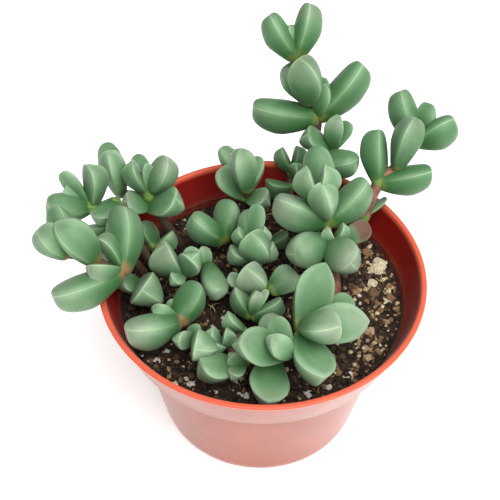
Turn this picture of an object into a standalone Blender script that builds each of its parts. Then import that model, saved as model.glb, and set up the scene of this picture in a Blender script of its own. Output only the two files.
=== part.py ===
"""A potted ice plant: short branching stems with pairs of plump three-sided leaves, in a shallow nursery pot.

Metres, +Z up. The origin is the middle of the pot's flat underside. The front, where the pot is seen
from, faces -Y. Sizes in the tables below are millimetres and angles are degrees.
"""

import math
import random

import bmesh
import bpy
from mathutils import Matrix, Vector

MM = 0.001

# Pot
POT_HEIGHT = 61.0
RIM_RADIUS = 50.0
LIP_WIDTH = 1.8
BAND_BOTTOM = 44.5
BAND_FOOT_RADIUS = 44.0
BODY_TOP_RADIUS = 40.3
FOOT_TOP = 4.0
FOOT_TOP_RADIUS = 33.0
BASE_RADIUS = 30.5
WALL = 1.4
FLOOR = 2.2
POT_STEPS = 48
DRAIN_HOLES = 8
DRAIN_RADIUS = 3.0
DRAIN_SIDES = 8
DRAIN_RING = 21.0

# Soil
SOIL_LEVEL = 49.0
SOIL_GAP = 0.4
SOIL_STEPS = 32
SOIL_RINGS = 8
SOIL_RELIEF = 0.5
PEBBLES = (
    (37.5, 13.5, 2.7),
    (26, -29.5, 1.8),
    (-20.5, -33.5, 1.8),
    (-31, -25, 1.4),
    (-6, -37, 1.3),
    (13.5, -36, 1.7),
    (36, -18, 1.6),
    (39, -1, 1.5),
    (35, 6, 1.6),
)
CRUMBS = 9
CRUMB_RADIUS = (0.8, 1.4)

# Leaves and stems
STEM_RADIUS = 1.6
STEM_TIP_RADIUS = 1.25
TWIG_RADIUS = 1.25
TWIG_REACH = 0.6
FOOT_DEPTH = 5.5
HOLE_RADIUS = STEM_RADIUS + 0.45
HOLE_SIDES = 10
LEAF_ROOT = 1.0
LARGE_LEAF = 9.0
# A leaf's forms: how much its margins narrow to the tip, its width at the base as a share of the most,
# how far along it is widest, its depths above and below the margins as shares of its width, and the
# roundness of its section above, below at the base, and below at the tip, where 2 is an ellipse and
# 1 is a flat-sided wedge.
PLUMP_LEAF = (0.2, 0.62, 0.66, 0.33, 0.62, 1.9, 2.0, 1.75)
PRESSED_LEAF = (0.15, 0.62, 0.80, 0.12, 0.70, 1.6, 1.75, 1.35)
POINTED_LEAF = (1.0, 0.70, 0.62, 0.10, 0.62, 1.6, 1.6, 1.3)
POINTED_SHOOTS = ("shoot_front",)
POINTED_LENGTH = 15.0
PLUMP_LENGTH = 13.0
PRESSED_RISE = 60.0
TIP_RISE = 0.05
# Turns round a leaf at which its section has a corner: 0 and 180 are the margins, 90 is the middle of
# the face that looks along the stem, and 270 is the keel.
LARGE_TURNS = (0, 45, 90, 135, 180, 225, 270, 315)
SMALL_TURNS = (0, 90, 180, 225, 270, 315)
LARGE_RINGS = 6
SMALL_RINGS = 4

# Each shoot is its stem's route from the soil up, and its whorls. A whorl is the place that its leaves
# grow from, the heading and rise that the stem has there, and each leaf's heading, rise, length and
# width. Headings are counted from +X towards +Y.
SHOOTS = {
    "shoot_tall": (
        ((19, 29.5, 50), (19, 38, 62), (17, 45, 71), (17, 49, 81), (14, 52, 87), (10, 57, 99), (9, 58, 101)),
        (
            ((19, 42, 69.5), (0, 80), ((320, 25, 14.5, 10),)),
            ((21, 44, 74), (0, 30), ((207, 40, 11, 9),)),
            ((23, 43, 74), (45, 65), ((80, 80, 11, 7.5), (50, 45, 9, 6))),
            ((17, 49, 81), (126, 54), ((177, 5, 21, 12), (32, 39, 22, 12))),
            ((17, 49, 82), (85, 60), ((60, 71, 10.5, 7), (78, 50, 12, 6), (162, 17, 8, 4.5))),
            ((13.5, 51.5, 86), (146, 60), ((203, 80, 17, 12.5), (138, 40, 13, 9))),
            ((9.5, 56.5, 99), (109, 53), ((140, 41, 15.5, 9.5), (66, 48, 17, 9.5))),
            ((9, 57, 100), (103, 47), ((108, 52, 9, 4.5), (86, 45, 9, 4.5))),
        ),
    ),
    "shoot_tall_foot": (
        ((8, 33, 50), (9, 40, 56), (9.5, 43.5, 62)),
        (
            ((9, 41.5, 57.5), (85, 60), ((195, 20, 8.5, 8.5),)),
            ((9.5, 44, 62.5), (96, 52), ((128, 40, 8, 6.5), (68, 46, 8, 6.5), (295, 57, 6, 5))),
        ),
    ),
    "shoot_middle_right": (
        ((23, 1, 50), (22, 5, 57), (20, 10.5, 63), (19, 15, 69), (16, 16, 77)),
        (
            ((20, 10.5, 63), (275, 41), ((222, 19, 15.5, 11.5), (298, 18, 15, 11.5))),
            ((25, 12, 63), (307, 47), ((38, 0, 10.5, 7.5),)),
            ((21.5, 9.5, 65), (136, 79), ((178, 70, 6, 5), (18, 60, 7, 5))),
            ((19.5, 15, 68), (112, 48), ((180, 27, 18, 11.5), (43, 17, 18.5, 11.5))),
            ((18.5, 15.5, 71), (127, 69), ((245, 80, 15, 10.5), (98, 33, 21, 10.5))),
            ((16, 16, 77), (139, 78), ((165, 70, 12, 8.5), (24, 76, 12, 9))),
        ),
    ),
    "shoot_outer_right": (
        ((29, 20.5, 50), (32, 23.5, 62), (36.5, 29, 72), (42, 32, 76), (47, 36, 83), (48, 37, 85)),
        (
            ((32, 23.5, 62), (47, 66), ((37, 11, 10, 3),)),
            ((36.5, 29, 72), (45, 33), ((97, 40, 16.5, 9.5), (12, 2, 17, 10.5))),
            ((42, 32, 76), (57, 57), ((52, 71, 17, 10.5), (78, 49, 12.5, 7))),
            ((47.5, 36, 83), (53, 53), ((120, 44, 16.5, 10), (2, 35, 13.5, 10.5))),
            ((47.5, 37, 84), (76, 39), ((61, 49, 11, 7.5),)),
        ),
    ),
    "shoot_front": (
        ((4, -24, 50), (4, -27, 57), (7, -32, 62), (9.5, -29.5, 65), (12, -27, 67)),
        (
            ((12, -27, 66), (320, 50), ((76, 20, 22, 13), (286, -2, 16.5, 13))),
            ((12, -26.5, 68), (350, 20), ((330, 33, 12.5, 11), (16, -9, 19.5, 12))),
            ((20, -17, 62), (340, 60), ((47, 0, 9, 7.5),)),
            ((3, -30.5, 58), (300, 65), ((264, -2, 15.5, 12), (92, 12, 14, 9))),
            ((7, -32, 64), (300, 65), ((197, 30, 17, 11.5),)),
            ((7.5, -34, 66), (135, 55), ((186, 59, 9, 8), (110, 10, 11.5, 7))),
        ),
    ),
    "shoot_front_low": (
        ((-9, -22, 50), (-9.5, -24, 56), (-7, -31, 57), (-5, -33, 58)),
        (
            ((-7, -32, 57), (0, 75), ((201, 22, 12, 11),)),
            ((-5.5, -33, 58), (244, 53), ((180, 50, 5.5, 5), (240, 21, 6.5, 5))),
            ((-11.5, -25, 57), (0, 88), ((175, 61, 7, 6), (354, 78, 7, 5.5), (242, 49, 7, 5.5), (345, 60, 6, 4.5))),
            ((-5, -19, 57), (27, 40), ((176, 48, 8, 6.5),)),
            ((-19.5, -23.5, 58), (253, 40), ((277, 37, 12, 10), (225, 32, 8, 6), (100, 0, 5, 5))),
        ),
    ),
    "shoot_left_front": (
        ((-24, -12, 50), (-24, -15, 56), (-25, -19, 60)),
        (
            ((-25, -19, 60), (141, 53), ((211, 17, 16.5, 11.5), (70, 7, 14, 10.5))),
            ((-26, -18, 61), (130, 30), ((184, 42, 7.5, 6), (104, -2, 6.5, 4))),
        ),
    ),
    "shoot_left_inner": (
        ((-22, 5, 50), (-22.5, 4, 56), (-24, 0, 61)),
        (
            ((-25, 2, 58), (33, 49), ((180, 69, 13, 11.5),)),
            ((-17, 5, 58), (0, 60), ((290, 0, 13, 8.5), (100, 7, 7, 5))),
            ((-24, -1, 61), (255, 42), ((322, 67, 10, 8.5), (240, 20, 6, 5.5), (67, 18, 9, 6))),
        ),
    ),
    "shoot_left_bud": (
        ((-31, 14.5, 50), (-33.5, 14.5, 56)),
        (
            ((-34, 14.5, 56), (82, 33), ((110, 12, 9.5, 8.5), (40, 12, 7.5, 7))),
        ),
    ),
    "shoot_left_outer": (
        ((-35.5, 4.5, 50), (-38.5, 4.5, 58), (-41.5, 1, 64), (-43, -7, 69), (-49, -8, 74), (-57, -8, 77)),
        (
            ((-42, -8, 69), (163, 39), ((92, 25, 20, 12.5), (211, -1, 21, 11.5))),
            ((-42.5, -7.5, 70), (181, 47), ((147, 53, 11.5, 8.5), (212, 32, 10.5, 8))),
            ((-49, -8, 74), (181, 26), ((172, 55, 16.5, 11),)),
            ((-57, -8, 77), (146, 32), ((168, 45, 11, 10.5), (109, 16, 15, 9))),
        ),
    ),
    "shoot_left_low": (
        ((-33, -7, 50), (-36, -3, 54.5), (-37.5, -1, 57)),
        (
            ((-37.5, -1, 56), (237, 57), ((284, 38, 12.5, 12), (216, 40, 8, 7), (30, 2, 5.5, 4.5))),
        ),
    ),
    "shoot_left_back": (
        ((-34, 9.5, 50), (-40, 13, 61), (-49, 15, 70), (-54, 15, 74)),
        (
            ((-45.5, 19, 72), (60, 40), ((233, 2, 10, 8.5),)),
            ((-47.5, 13.5, 66.5), (115, 54), ((195, -1, 10, 8),)),
            ((-53.5, 16, 72), (184, 60), ((78, 72, 14, 10), (200, 20, 13.5, 10.5))),
            ((-54, 14.5, 74), (159, 47), ((153, 34, 8.5, 6.5), (141, 41, 12.5, 6))),
        ),
    ),
    "shoot_back_left": (
        ((-27, 22, 50), (-33, 23.5, 61), (-36, 23, 70), (-36, 24, 73)),
        (
            ((-45, 26, 68), (107, 47), ((114, 30, 17, 8.5), (146, 77, 16, 9))),
            ((-36, 22, 67), (268, 72), ((208, 35, 9, 8.5), (336, 33, 12, 11))),
            ((-36, 24.5, 71), (45, 84), ((174, 66, 12, 8.5), (19, 56, 13, 10), (111, 16, 13, 6.5))),
            ((-35.5, 22.5, 73), (61, 80), ((97, 69, 9, 4), (67, 64, 8, 3.5))),
        ),
    ),
    "shoot_back": (
        ((-3, 33, 50), (-4, 31, 58), (-5, 28, 66), (-5, 27, 71)),
        (
            ((-5, 28.5, 65), (265, 76), ((160, 38, 12.5, 9.5), (327, 26, 8, 8.5))),
            ((-5, 27, 70), (86, 44), ((121, 74, 14, 9.5), (73, 15, 12, 7))),
            ((-5.5, 34, 66), (124, 21), ((132, 29, 14, 7), (132, 41, 11, 4.5))),
        ),
    ),
    "shoot_back_centre": (
        ((-11, 19, 50), (-12, 16.5, 58)),
        (
            ((-12.5, 16, 58), (137, 57), ((84, 30, 13, 9.5), (168, 38, 13, 10))),
        ),
    ),
    "shoot_centre": (
        ((-2, 6, 50), (-3, 7, 60), (-3, 9, 65)),
        (
            ((-3.5, -2, 55.5), (158, 65), ((225, 82, 11, 11), (160, 18, 8, 6))),
            ((2, 16, 57), (151, 57), ((35, 4, 7, 7),)),
            ((-3, 7, 60), (133, 73), ((253, 88, 11, 11.5), (98, 31, 15, 8.5), (184, 27, 8, 7.5), (3, 37, 8, 7.5))),
            ((-3.5, 9, 64.2), (98, 75), ((168, 47, 6.8, 6.2), (14, 48, 6.8, 6.2), (76, 38, 12, 6.5))),
            ((-3, -13.5, 57), (62, 43), ((116, 12, 10, 8), (21, 18, 10, 8))),
            ((-2.5, -13.5, 58), (50, 57), ((53, 73, 7.5, 5), (58, 26, 8, 3))),
            ((3, -3, 56), (263, 53), ((40, 13, 9.5, 9.5),)),
        ),
    ),
}

# Colour, roughness
POT_FINISH = ((0.78, 0.19, 0.10, 1.0), 0.42)
SOIL_FINISH = ((0.035, 0.024, 0.017, 1.0), 0.95)
LEAF_FINISH = ((0.20, 0.36, 0.22, 1.0), 0.55)


def clear_scene():
    for obj in list(bpy.data.objects):
        bpy.data.objects.remove(obj, do_unlink=True)


def make_collection(name):
    collection = bpy.data.collections.new(name)
    bpy.context.scene.collection.children.link(collection)
    return collection


def make_material(name, finish):
    colour, roughness = finish
    material = bpy.data.materials.new(name)
    material.use_nodes = True
    shader = material.node_tree.nodes["Principled BSDF"]
    shader.inputs["Base Color"].default_value = colour
    shader.inputs["Roughness"].default_value = roughness
    shader.inputs["Metallic"].default_value = 0.0
    material.diffuse_color = colour
    return material


def add_object(name, mesh, collection, matrix=None):
    obj = bpy.data.objects.new(name, mesh)
    collection.objects.link(obj)
    if matrix is not None:
        obj.matrix_world = matrix
    return obj


def mesh_of(bm, name):
    mesh = bpy.data.meshes.new(name)
    bm.to_mesh(mesh)
    bm.free()
    return mesh


def evaluated_mesh(obj):
    """A new mesh with the object's modifiers applied, or made from its curve."""
    graph = bpy.context.evaluated_depsgraph_get()
    graph.update()
    return bpy.data.meshes.new_from_object(obj.evaluated_get(graph))


def apply_modifiers(obj):
    mesh = evaluated_mesh(obj)
    obj.modifiers.clear()
    obj.data = mesh


def direction(heading, rise):
    """Unit vector from a heading, counted from +X towards +Y, and a rise above level."""
    turn, lift = math.radians(heading), math.radians(rise)
    return Vector((math.cos(turn) * math.cos(lift), math.sin(turn) * math.cos(lift), math.sin(lift)))


def smoothstep(value):
    value = min(max(value, 0.0), 1.0)
    return value * value * (3.0 - 2.0 * value)


def leaf_form(name, rise, length):
    """The form of a leaf: a steep or a short one is pressed flat against its partner."""
    if name in POINTED_SHOOTS and length >= POINTED_LENGTH:
        return POINTED_LEAF
    return PLUMP_LEAF if length >= PLUMP_LENGTH and rise < PRESSED_RISE else PRESSED_LEAF


def leaf_point(along, around, length, width, form):
    """A point of a leaf's skin: along is 0 at the base and 1 at the tip, around is a turn in radians."""
    narrowing, base, widest, face_depth, keel_depth, face_power, base_power, tip_power = form
    spread = math.sqrt(max(1.0 - (2.0 * along - 1.0) ** 2, 0.0))
    growth = base + (1.0 - base) * smoothstep(along / widest)
    margin = 0.5 * width * growth * spread ** (0.5 + narrowing * along ** 3)
    keel = keel_depth * width * growth * spread ** 0.5
    face = face_depth * width * spread ** 0.6
    across, up = math.cos(around), math.sin(around)
    keel_power = base_power + (tip_power - base_power) * along
    power, depth = (face_power, face) if up > 0.0 else (keel_power, keel)
    reach = (abs(across) ** power + abs(up) ** power) ** (-1.0 / power)
    rise = TIP_RISE * length * along * along
    return Vector((length * along, margin * reach * across, depth * reach * up + rise))


def leaf_mesh(name, length, width, form):
    """A leaf along +X with its face up, shaped from a sphere whose poles become its base and its tip."""
    large = length >= LARGE_LEAF
    turns = LARGE_TURNS if large else SMALL_TURNS
    bm = bmesh.new()
    bmesh.ops.create_uvsphere(
        bm, u_segments=len(turns), v_segments=LARGE_RINGS if large else SMALL_RINGS, radius=1.0
    )
    for vert in bm.verts:
        along = (1.0 + vert.co.z) / 2.0
        column = round(math.atan2(-vert.co.x, vert.co.y) / math.tau * len(turns)) % len(turns)
        vert.co = leaf_point(along, math.radians(turns[column]), length + LEAF_ROOT, width, form) * MM
    return mesh_of(bm, name)


def leaf_place(at, aim, heading, rise):
    """The matrix that grows a leaf from its whorl, with its face towards the stem's own way."""
    along = direction(heading, rise)
    stem = direction(*aim)
    face = (stem - stem.dot(along) * along).normalized()
    across = face.cross(along)
    turned = Matrix((along, across, face)).transposed().to_4x4()
    return Matrix.Translation((Vector(at) - along * LEAF_ROOT) * MM) @ turned


def tube(name, points, radii, sides_level, collection):
    """A closed tube through the points, as a mesh object."""
    curve = bpy.data.curves.new(name, "CURVE")
    curve.dimensions = "3D"
    curve.bevel_depth = MM
    curve.bevel_resolution = sides_level
    curve.use_fill_caps = True
    spline = curve.splines.new("POLY")
    spline.points.add(len(points) - 1)
    for point, place, radius in zip(spline.points, points, radii):
        point.co = (*(Vector(place) * MM), 1.0)
        point.radius = radius
    guide = add_object(name + "_route", curve, collection)
    mesh = evaluated_mesh(guide)
    matrix = guide.matrix_world.copy()
    bpy.data.objects.remove(guide, do_unlink=True)
    weld_caps(mesh)
    return add_object(name, mesh, collection, matrix)


def weld_caps(mesh):
    bm = bmesh.new()
    bm.from_mesh(mesh)
    bmesh.ops.remove_doubles(bm, verts=bm.verts, dist=0.00001)
    bmesh.ops.recalc_face_normals(bm, faces=bm.faces)
    bm.to_mesh(mesh)
    bm.free()


def nearest_on_route(route, place):
    """The point of the route that lies nearest to a place."""
    best = None
    for start, end in zip(route, route[1:]):
        run = end - start
        share = min(max((place - start).dot(run) / run.length_squared, 0.0), 1.0)
        point = start + run * share
        if best is None or (point - place).length < (best - place).length:
            best = point
    return best


def join(obj, pieces, operation):
    """One Boolean of the object with every object in the collection, applied, and those objects removed."""
    boolean = obj.modifiers.new("join_pieces", "BOOLEAN")
    boolean.operation = operation
    boolean.operand_type = "COLLECTION"
    boolean.collection = pieces
    boolean.solver = "EXACT"
    apply_modifiers(obj)
    for piece in list(pieces.objects):
        bpy.data.objects.remove(piece, do_unlink=True)


def finish(obj, material):
    obj.data.materials.clear()
    obj.data.materials.append(material)
    obj.data.shade_smooth()
    obj.data.set_sharp_from_angle(angle=math.radians(40))


def make_shoot(name, stem, whorls, parts, pieces, material):
    """One leafy stem: its stem, a twig to each whorl beside it, and every leaf, in one body."""
    route = [Vector(place) for place in stem]
    foot = route[0] - Vector((0, 0, FOOT_DEPTH))
    points = [foot, *route]
    taper = (STEM_TIP_RADIUS - STEM_RADIUS) / (len(points) - 1)
    radii = [STEM_RADIUS + taper * index for index in range(len(points))]
    shoot = tube(name, points, radii, 2, parts)
    for number, (at, aim, leaves) in enumerate(whorls):
        start = nearest_on_route(route, Vector(at))
        if (start - Vector(at)).length > TWIG_REACH:
            tube(f"twig_{number}", (start, at), (TWIG_RADIUS, TWIG_RADIUS), 1, pieces)
        for heading, rise, length, width in leaves:
            mesh = leaf_mesh("leaf", length, width, leaf_form(name, rise, length))
            add_object("leaf", mesh, pieces, leaf_place(at, aim, heading, rise))
    join(shoot, pieces, "UNION")
    finish(shoot, material)
    return shoot


def turned(name, profile, steps, collection):
    """A turned shape from a profile of (radius, height) that runs down the outside, with its Screw applied."""
    bm = bmesh.new()
    verts = [bm.verts.new((radius * MM, 0, height * MM)) for radius, height in profile]
    for upper, lower in zip(verts, verts[1:]):
        bm.edges.new((upper, lower))
    obj = add_object(name, mesh_of(bm, name), collection)
    screw = obj.modifiers.new("turn", "SCREW")
    screw.axis = "Z"
    screw.steps = steps
    screw.render_steps = steps
    screw.use_merge_vertices = True
    screw.merge_threshold = 0.00001
    apply_modifiers(obj)
    return obj


def inner_radius(height):
    """The pot's inner radius at a height, in the rim band or in the body below it."""
    if height >= BAND_BOTTOM:
        slope = (RIM_RADIUS - BAND_FOOT_RADIUS) / (POT_HEIGHT - BAND_BOTTOM)
        return RIM_RADIUS - LIP_WIDTH - slope * (POT_HEIGHT - height)
    slope = (BODY_TOP_RADIUS - FOOT_TOP_RADIUS) / (BAND_BOTTOM - FOOT_TOP)
    return BODY_TOP_RADIUS - WALL - slope * (BAND_BOTTOM - height)


def rounded_corner(radius, height, size, first, last, count=3):
    """Points of a small round between two turns, in degrees, about a centre one size inside the corner."""
    turns = [math.radians(first + (last - first) * step / (count - 1)) for step in range(count)]
    return [(radius + size * math.cos(turn), height + size * math.sin(turn)) for turn in turns]


def make_pot(parts, pieces, material):
    ledge = BAND_BOTTOM + WALL
    lip_round = 0.5
    middle = RIM_RADIUS - LIP_WIDTH / 2
    half = LIP_WIDTH / 2 - lip_round
    profile = [
        (0, FLOOR),
        (inner_radius(FLOOR + 2) - 2, FLOOR),
        (inner_radius(FLOOR + 2), FLOOR + 2),
        (inner_radius(BAND_BOTTOM - 0.1), BAND_BOTTOM - 0.1),
        (inner_radius(ledge), ledge),
        *rounded_corner(middle - half, POT_HEIGHT - lip_round, lip_round, 180, 90),
        *rounded_corner(middle + half, POT_HEIGHT - lip_round, lip_round, 90, 0),
        (BAND_FOOT_RADIUS, BAND_BOTTOM),
        (BODY_TOP_RADIUS, BAND_BOTTOM),
        (FOOT_TOP_RADIUS, FOOT_TOP),
        (FOOT_TOP_RADIUS - 0.6, FOOT_TOP / 2.5),
        (BASE_RADIUS, 0),
        (0, 0),
    ]
    pot = turned("pot", profile, POT_STEPS, parts)
    for number in range(DRAIN_HOLES):
        turn = math.tau * (number + 0.5) / DRAIN_HOLES
        bm = bmesh.new()
        bmesh.ops.create_cone(
            bm,
            cap_ends=True,
            segments=DRAIN_SIDES,
            radius1=DRAIN_RADIUS * MM,
            radius2=DRAIN_RADIUS * MM,
            depth=3 * FLOOR * MM,
        )
        place = Vector((DRAIN_RING * math.cos(turn), DRAIN_RING * math.sin(turn), FLOOR / 2)) * MM
        add_object("drain", mesh_of(bm, "drain"), pieces, Matrix.Translation(place))
    join(pot, pieces, "DIFFERENCE")
    finish(pot, material)
    return pot


def soil_height(x, y):
    """The level of the soil's surface above its mean, a few low swells of unlike length."""
    swell = math.sin(0.21 * x + 1.1) * math.cos(0.17 * y - 0.4)
    lump = math.sin(0.53 * x - 0.31 * y) * math.sin(0.47 * y + 0.8)
    return SOIL_RELIEF * (0.6 * swell + 0.4 * lump)


def add_grain(x, y, radius, draw, pieces):
    """A rough stone of soil or grit, sunk to a little under its middle in the surface."""
    bm = bmesh.new()
    bmesh.ops.create_icosphere(bm, subdivisions=1, radius=radius * MM)
    for vert in bm.verts:
        vert.co *= draw.uniform(0.8, 1.0)
    height = SOIL_LEVEL + soil_height(x, y) - 0.35 * radius
    place = Matrix.Translation(Vector((x, y, height)) * MM)
    spin = Matrix.Rotation(draw.uniform(0, math.tau), 4, "Z")
    add_object("grain", mesh_of(bm, "grain"), pieces, place @ spin)


def make_soil(parts, pieces, material):
    ledge = BAND_BOTTOM + WALL
    top_radius = inner_radius(SOIL_LEVEL) - SOIL_GAP
    profile = [(top_radius * ring / SOIL_RINGS, SOIL_LEVEL) for ring in range(SOIL_RINGS + 1)]
    profile += [
        (inner_radius(ledge) - SOIL_GAP, ledge + SOIL_GAP),
        (inner_radius(BAND_BOTTOM - 0.1) - 1.5 * SOIL_GAP, BAND_BOTTOM),
        (inner_radius(FLOOR + 2) - 1.5 * SOIL_GAP, FLOOR + 2),
        (inner_radius(FLOOR + 2) - 2.5, FLOOR + SOIL_GAP),
        (0, FLOOR + SOIL_GAP),
    ]
    soil = turned("soil", profile, SOIL_STEPS, parts)
    for vert in soil.data.vertices:
        x, y, z = vert.co / MM
        if z > SOIL_LEVEL - 0.01:
            edge = smoothstep((top_radius - math.hypot(x, y)) / 6.0)
            vert.co.z += soil_height(x, y) * edge * MM
    draw = random.Random(11)
    for x, y, radius in PEBBLES:
        add_grain(x, y, radius, draw, pieces)
    reach = top_radius - 3.0
    golden = math.pi * (3.0 - math.sqrt(5.0))
    for number in range(CRUMBS):
        distance = reach * math.sqrt((number + 0.5) / CRUMBS)
        turn = number * golden
        radius = draw.uniform(*CRUMB_RADIUS)
        add_grain(distance * math.cos(turn), distance * math.sin(turn), radius, draw, pieces)
    join(soil, pieces, "UNION")
    for stem, _ in SHOOTS.values():
        bm = bmesh.new()
        bmesh.ops.create_cone(
            bm,
            cap_ends=True,
            segments=HOLE_SIDES,
            radius1=HOLE_RADIUS * MM,
            radius2=HOLE_RADIUS * MM,
            depth=(2 * FOOT_DEPTH + 2 * SOIL_GAP) * MM,
        )
        add_object("hole", mesh_of(bm, "hole"), pieces, Matrix.Translation(Vector(stem[0]) * MM))
    join(soil, pieces, "DIFFERENCE")
    finish(soil, material)
    return soil


def main():
    clear_scene()
    parts = make_collection("potted_ice_plant")
    pieces = make_collection("potted_ice_plant_pieces")
    pieces.hide_render = True
    make_pot(parts, pieces, make_material("pot_plastic", POT_FINISH))
    make_soil(parts, pieces, make_material("soil_mix", SOIL_FINISH))
    leaf = make_material("leaf_skin", LEAF_FINISH)
    for name, (stem, whorls) in SHOOTS.items():
        make_shoot(name, stem, whorls, parts, pieces, leaf)


main()
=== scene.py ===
"""A potted ice plant dressed for a picture: its leaves, stems, soil and pot, and a plain pale stage.

Sizes in the tables are millimetres, angles are degrees, and every piece lies in the frame of the
solids that it stands for, with the middle of the pot's underside at the origin.
"""

import math
import random

import bmesh
import bpy
from bpy.props import FloatProperty, FloatVectorProperty, IntProperty, PointerProperty
from mathutils import Matrix, Vector, noise


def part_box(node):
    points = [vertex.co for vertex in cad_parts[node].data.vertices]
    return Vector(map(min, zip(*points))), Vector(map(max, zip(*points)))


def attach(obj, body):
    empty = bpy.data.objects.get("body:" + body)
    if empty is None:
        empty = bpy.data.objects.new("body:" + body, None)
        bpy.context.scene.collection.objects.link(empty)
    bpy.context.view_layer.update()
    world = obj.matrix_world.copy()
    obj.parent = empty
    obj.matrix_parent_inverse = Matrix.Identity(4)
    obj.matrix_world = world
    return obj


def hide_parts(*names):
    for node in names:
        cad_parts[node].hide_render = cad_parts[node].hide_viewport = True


bl_info = {
    "name": "Potted Ice Plant",
    "version": (1, 0, 0),
    "blender": (4, 5, 0),
    "location": "3D View > Sidebar > Ice Plant",
    "description": "Builds the leaves, soil, pot and stage of a potted ice plant",
    "category": "Object",
}

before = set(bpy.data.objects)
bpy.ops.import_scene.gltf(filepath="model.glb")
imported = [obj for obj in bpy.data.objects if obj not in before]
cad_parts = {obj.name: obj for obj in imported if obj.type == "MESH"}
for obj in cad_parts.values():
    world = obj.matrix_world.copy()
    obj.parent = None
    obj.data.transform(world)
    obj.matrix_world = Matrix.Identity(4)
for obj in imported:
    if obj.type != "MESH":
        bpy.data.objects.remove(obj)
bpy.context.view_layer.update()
BODY = "root"
MM = 0.001

# Pot
POT_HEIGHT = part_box("pot")[1].z / MM
RIM_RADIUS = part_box("pot")[1].x / MM
LIP_WIDTH = 1.8
BAND_BOTTOM = 44.5
BAND_FOOT_RADIUS = 44.0
BODY_TOP_RADIUS = 40.3
FOOT_TOP = 4.0
FOOT_TOP_RADIUS = 33.0
BASE_RADIUS = 30.5
WALL = 1.4
FLOOR = 2.2
DRAIN_HOLES = 8
DRAIN_RADIUS = 3.0
DRAIN_RING = 21.0
# The lip's height, how far the band stands back under it, and the height of its bright edge, which is kept
# out of the painted shade inside and the painted light outside
LIP_DEPTH = 2.0
LIP_STEP = 0.75
LIP_EDGE = 1.0
# The bead inside, above the soil: its rise, its depth, and its corners above its lower edge
BEAD_RISE = 1.2
BEAD_DEPTH = 0.1
BEAD_CORNERS = (0.2, 0.5, 0.8)
# Height of the corners under the band, and width of those round the foot
CHAMFER = 0.4
FOOT_CHAMFER = 0.6
# Sharpest angle, in degrees, that still looks round
ROUND_ANGLE = 35
# Heights above the soil between which the dried soil on the pot's inside thins out
SOIL_STAIN = (0.5, 4.0)

# Soil
SOIL_LEVEL = 49.0
SOIL_GAP = 0.4
SOIL_RELIEF = 0.5
# Width of the strip in which the swells fade out, and spacing and height of the lumps on the surface
SOIL_RIM = 6.0
SOIL_CRUMBS = (1.9, 0.55)
SOIL_GRAINS = (0.85, 0.3)
SOIL_CLODS = (4.5, 0.45)
PEBBLES = (
    (37.5, 13.5, 2.7),
    (26, -29.5, 1.8),
    (-20.5, -33.5, 1.8),
    (-31, -25, 1.4),
    (-6, -37, 1.3),
    (13.5, -36, 1.7),
    (36, -18, 1.6),
    (39, -1, 1.5),
    (35, 6, 1.6),
)

# Leaves and stems
STEM_RADIUS = 1.6
STEM_TIP_RADIUS = 1.25
TWIG_RADIUS = 1.25
TWIG_REACH = 0.6
FOOT_DEPTH = 5.5
LEAF_ROOT = 1.0
# A leaf's forms: how much its margins narrow to the tip, its width at the base as a share of the most,
# how far along it is widest, its depths above and below the margins as shares of its width, and the
# roundness of its section above, below at the base, and below at the tip, where 2 is an ellipse and
# 1 is a flat-sided wedge.
PLUMP_LEAF = (0.2, 0.62, 0.66, 0.33, 0.62, 1.9, 2.0, 1.75)
PRESSED_LEAF = (0.15, 0.62, 0.80, 0.12, 0.70, 1.6, 1.75, 1.35)
POINTED_LEAF = (1.0, 0.70, 0.62, 0.10, 0.62, 1.6, 1.6, 1.3)
POINTED_SHOOTS = ("shoot_front",)
POINTED_LENGTH = 15.0
PLUMP_LENGTH = 13.0
PRESSED_RISE = 60.0
TIP_RISE = 0.05

# Attributes of a shoot's vertices
LEAF_LABELS = ("along", "ridge", "tone", "blush", "age_and_shade", "collar")
# How strongly the columns of a leaf crowd towards its edges, and the most that a tip is tinted
EDGE_CROWDING = 0.6
BLUSH_MOST = 0.55
# Share of the leaves that have no tint, how far the bloom varies, and the most twist, in degrees
UNBLUSHED = 0.55
TONE_SPREAD = 0.22
LEAF_TWIST = 5.0
# Narrowest leaf whose pair has a sheath round its bases
SHEATHED_LEAF = 6.0
# A sheath's radius, as a part that all share and a share of the widest leaf's width, its unevenness,
# its height as a share of its width, and the faces round and along it
SHEATH_RADIUS = (0.3, 0.07)
SHEATH_SWELL = 0.12
SHEATH_FLATNESS = 0.8
SHEATH_FACES = (18, 12)
# Length and width of the one leaf with a brown dry patch near its tip
SCORCHED_LEAF = (10.5, 7.5)
# Millimetres between a stem's rings, reach of the swelling where leaves grow, height of the lumps in
# the bark as a share of the radius, and their spacing
STEM_RING = 0.7
KNOT_REACH = 1.3
BARK_SWELL = 0.10
BARK_SPACING = 1.4
# Starts of the random draws, and how far apart in the noise two shapes may lie
SHOOT_SEED = 7
GRIT_SEED = 23
SEED_REACH = 90
# Each shoot's stem, from 0, young and pink, to 1, aged, brown and partly darkened as painted shade, its
# girth, its collars and leaf bases, from 0, yellow-green, to 1, tan, and how much bloom its leaves have
SHOOT_TONES = {
    "shoot_tall": (0.7, 1.0, 0.3, 0.22),
    "shoot_tall_foot": (0.9, 1.0, 0.2, 0.15),
    "shoot_middle_right": (0.0, 1.25, 0.1, 0.5),
    "shoot_outer_right": (0.0, 1.3, 0.25, 0.12),
    "shoot_front": (0.45, 1.0, 0.1, 0.55),
    "shoot_left_outer": (0.9, 1.0, 0.9, 0.38),
    "shoot_left_front": (0.8, 1.0, 1.0, 0.45),
    "shoot_centre": (0.7, 1.0, 0.2, 0.5),
    "shoot_back": (0.9, 1.0, 0.2, 0.35),
}
OTHER_TONES = (1.0, 1.0, 0.15, 0.5)

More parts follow.
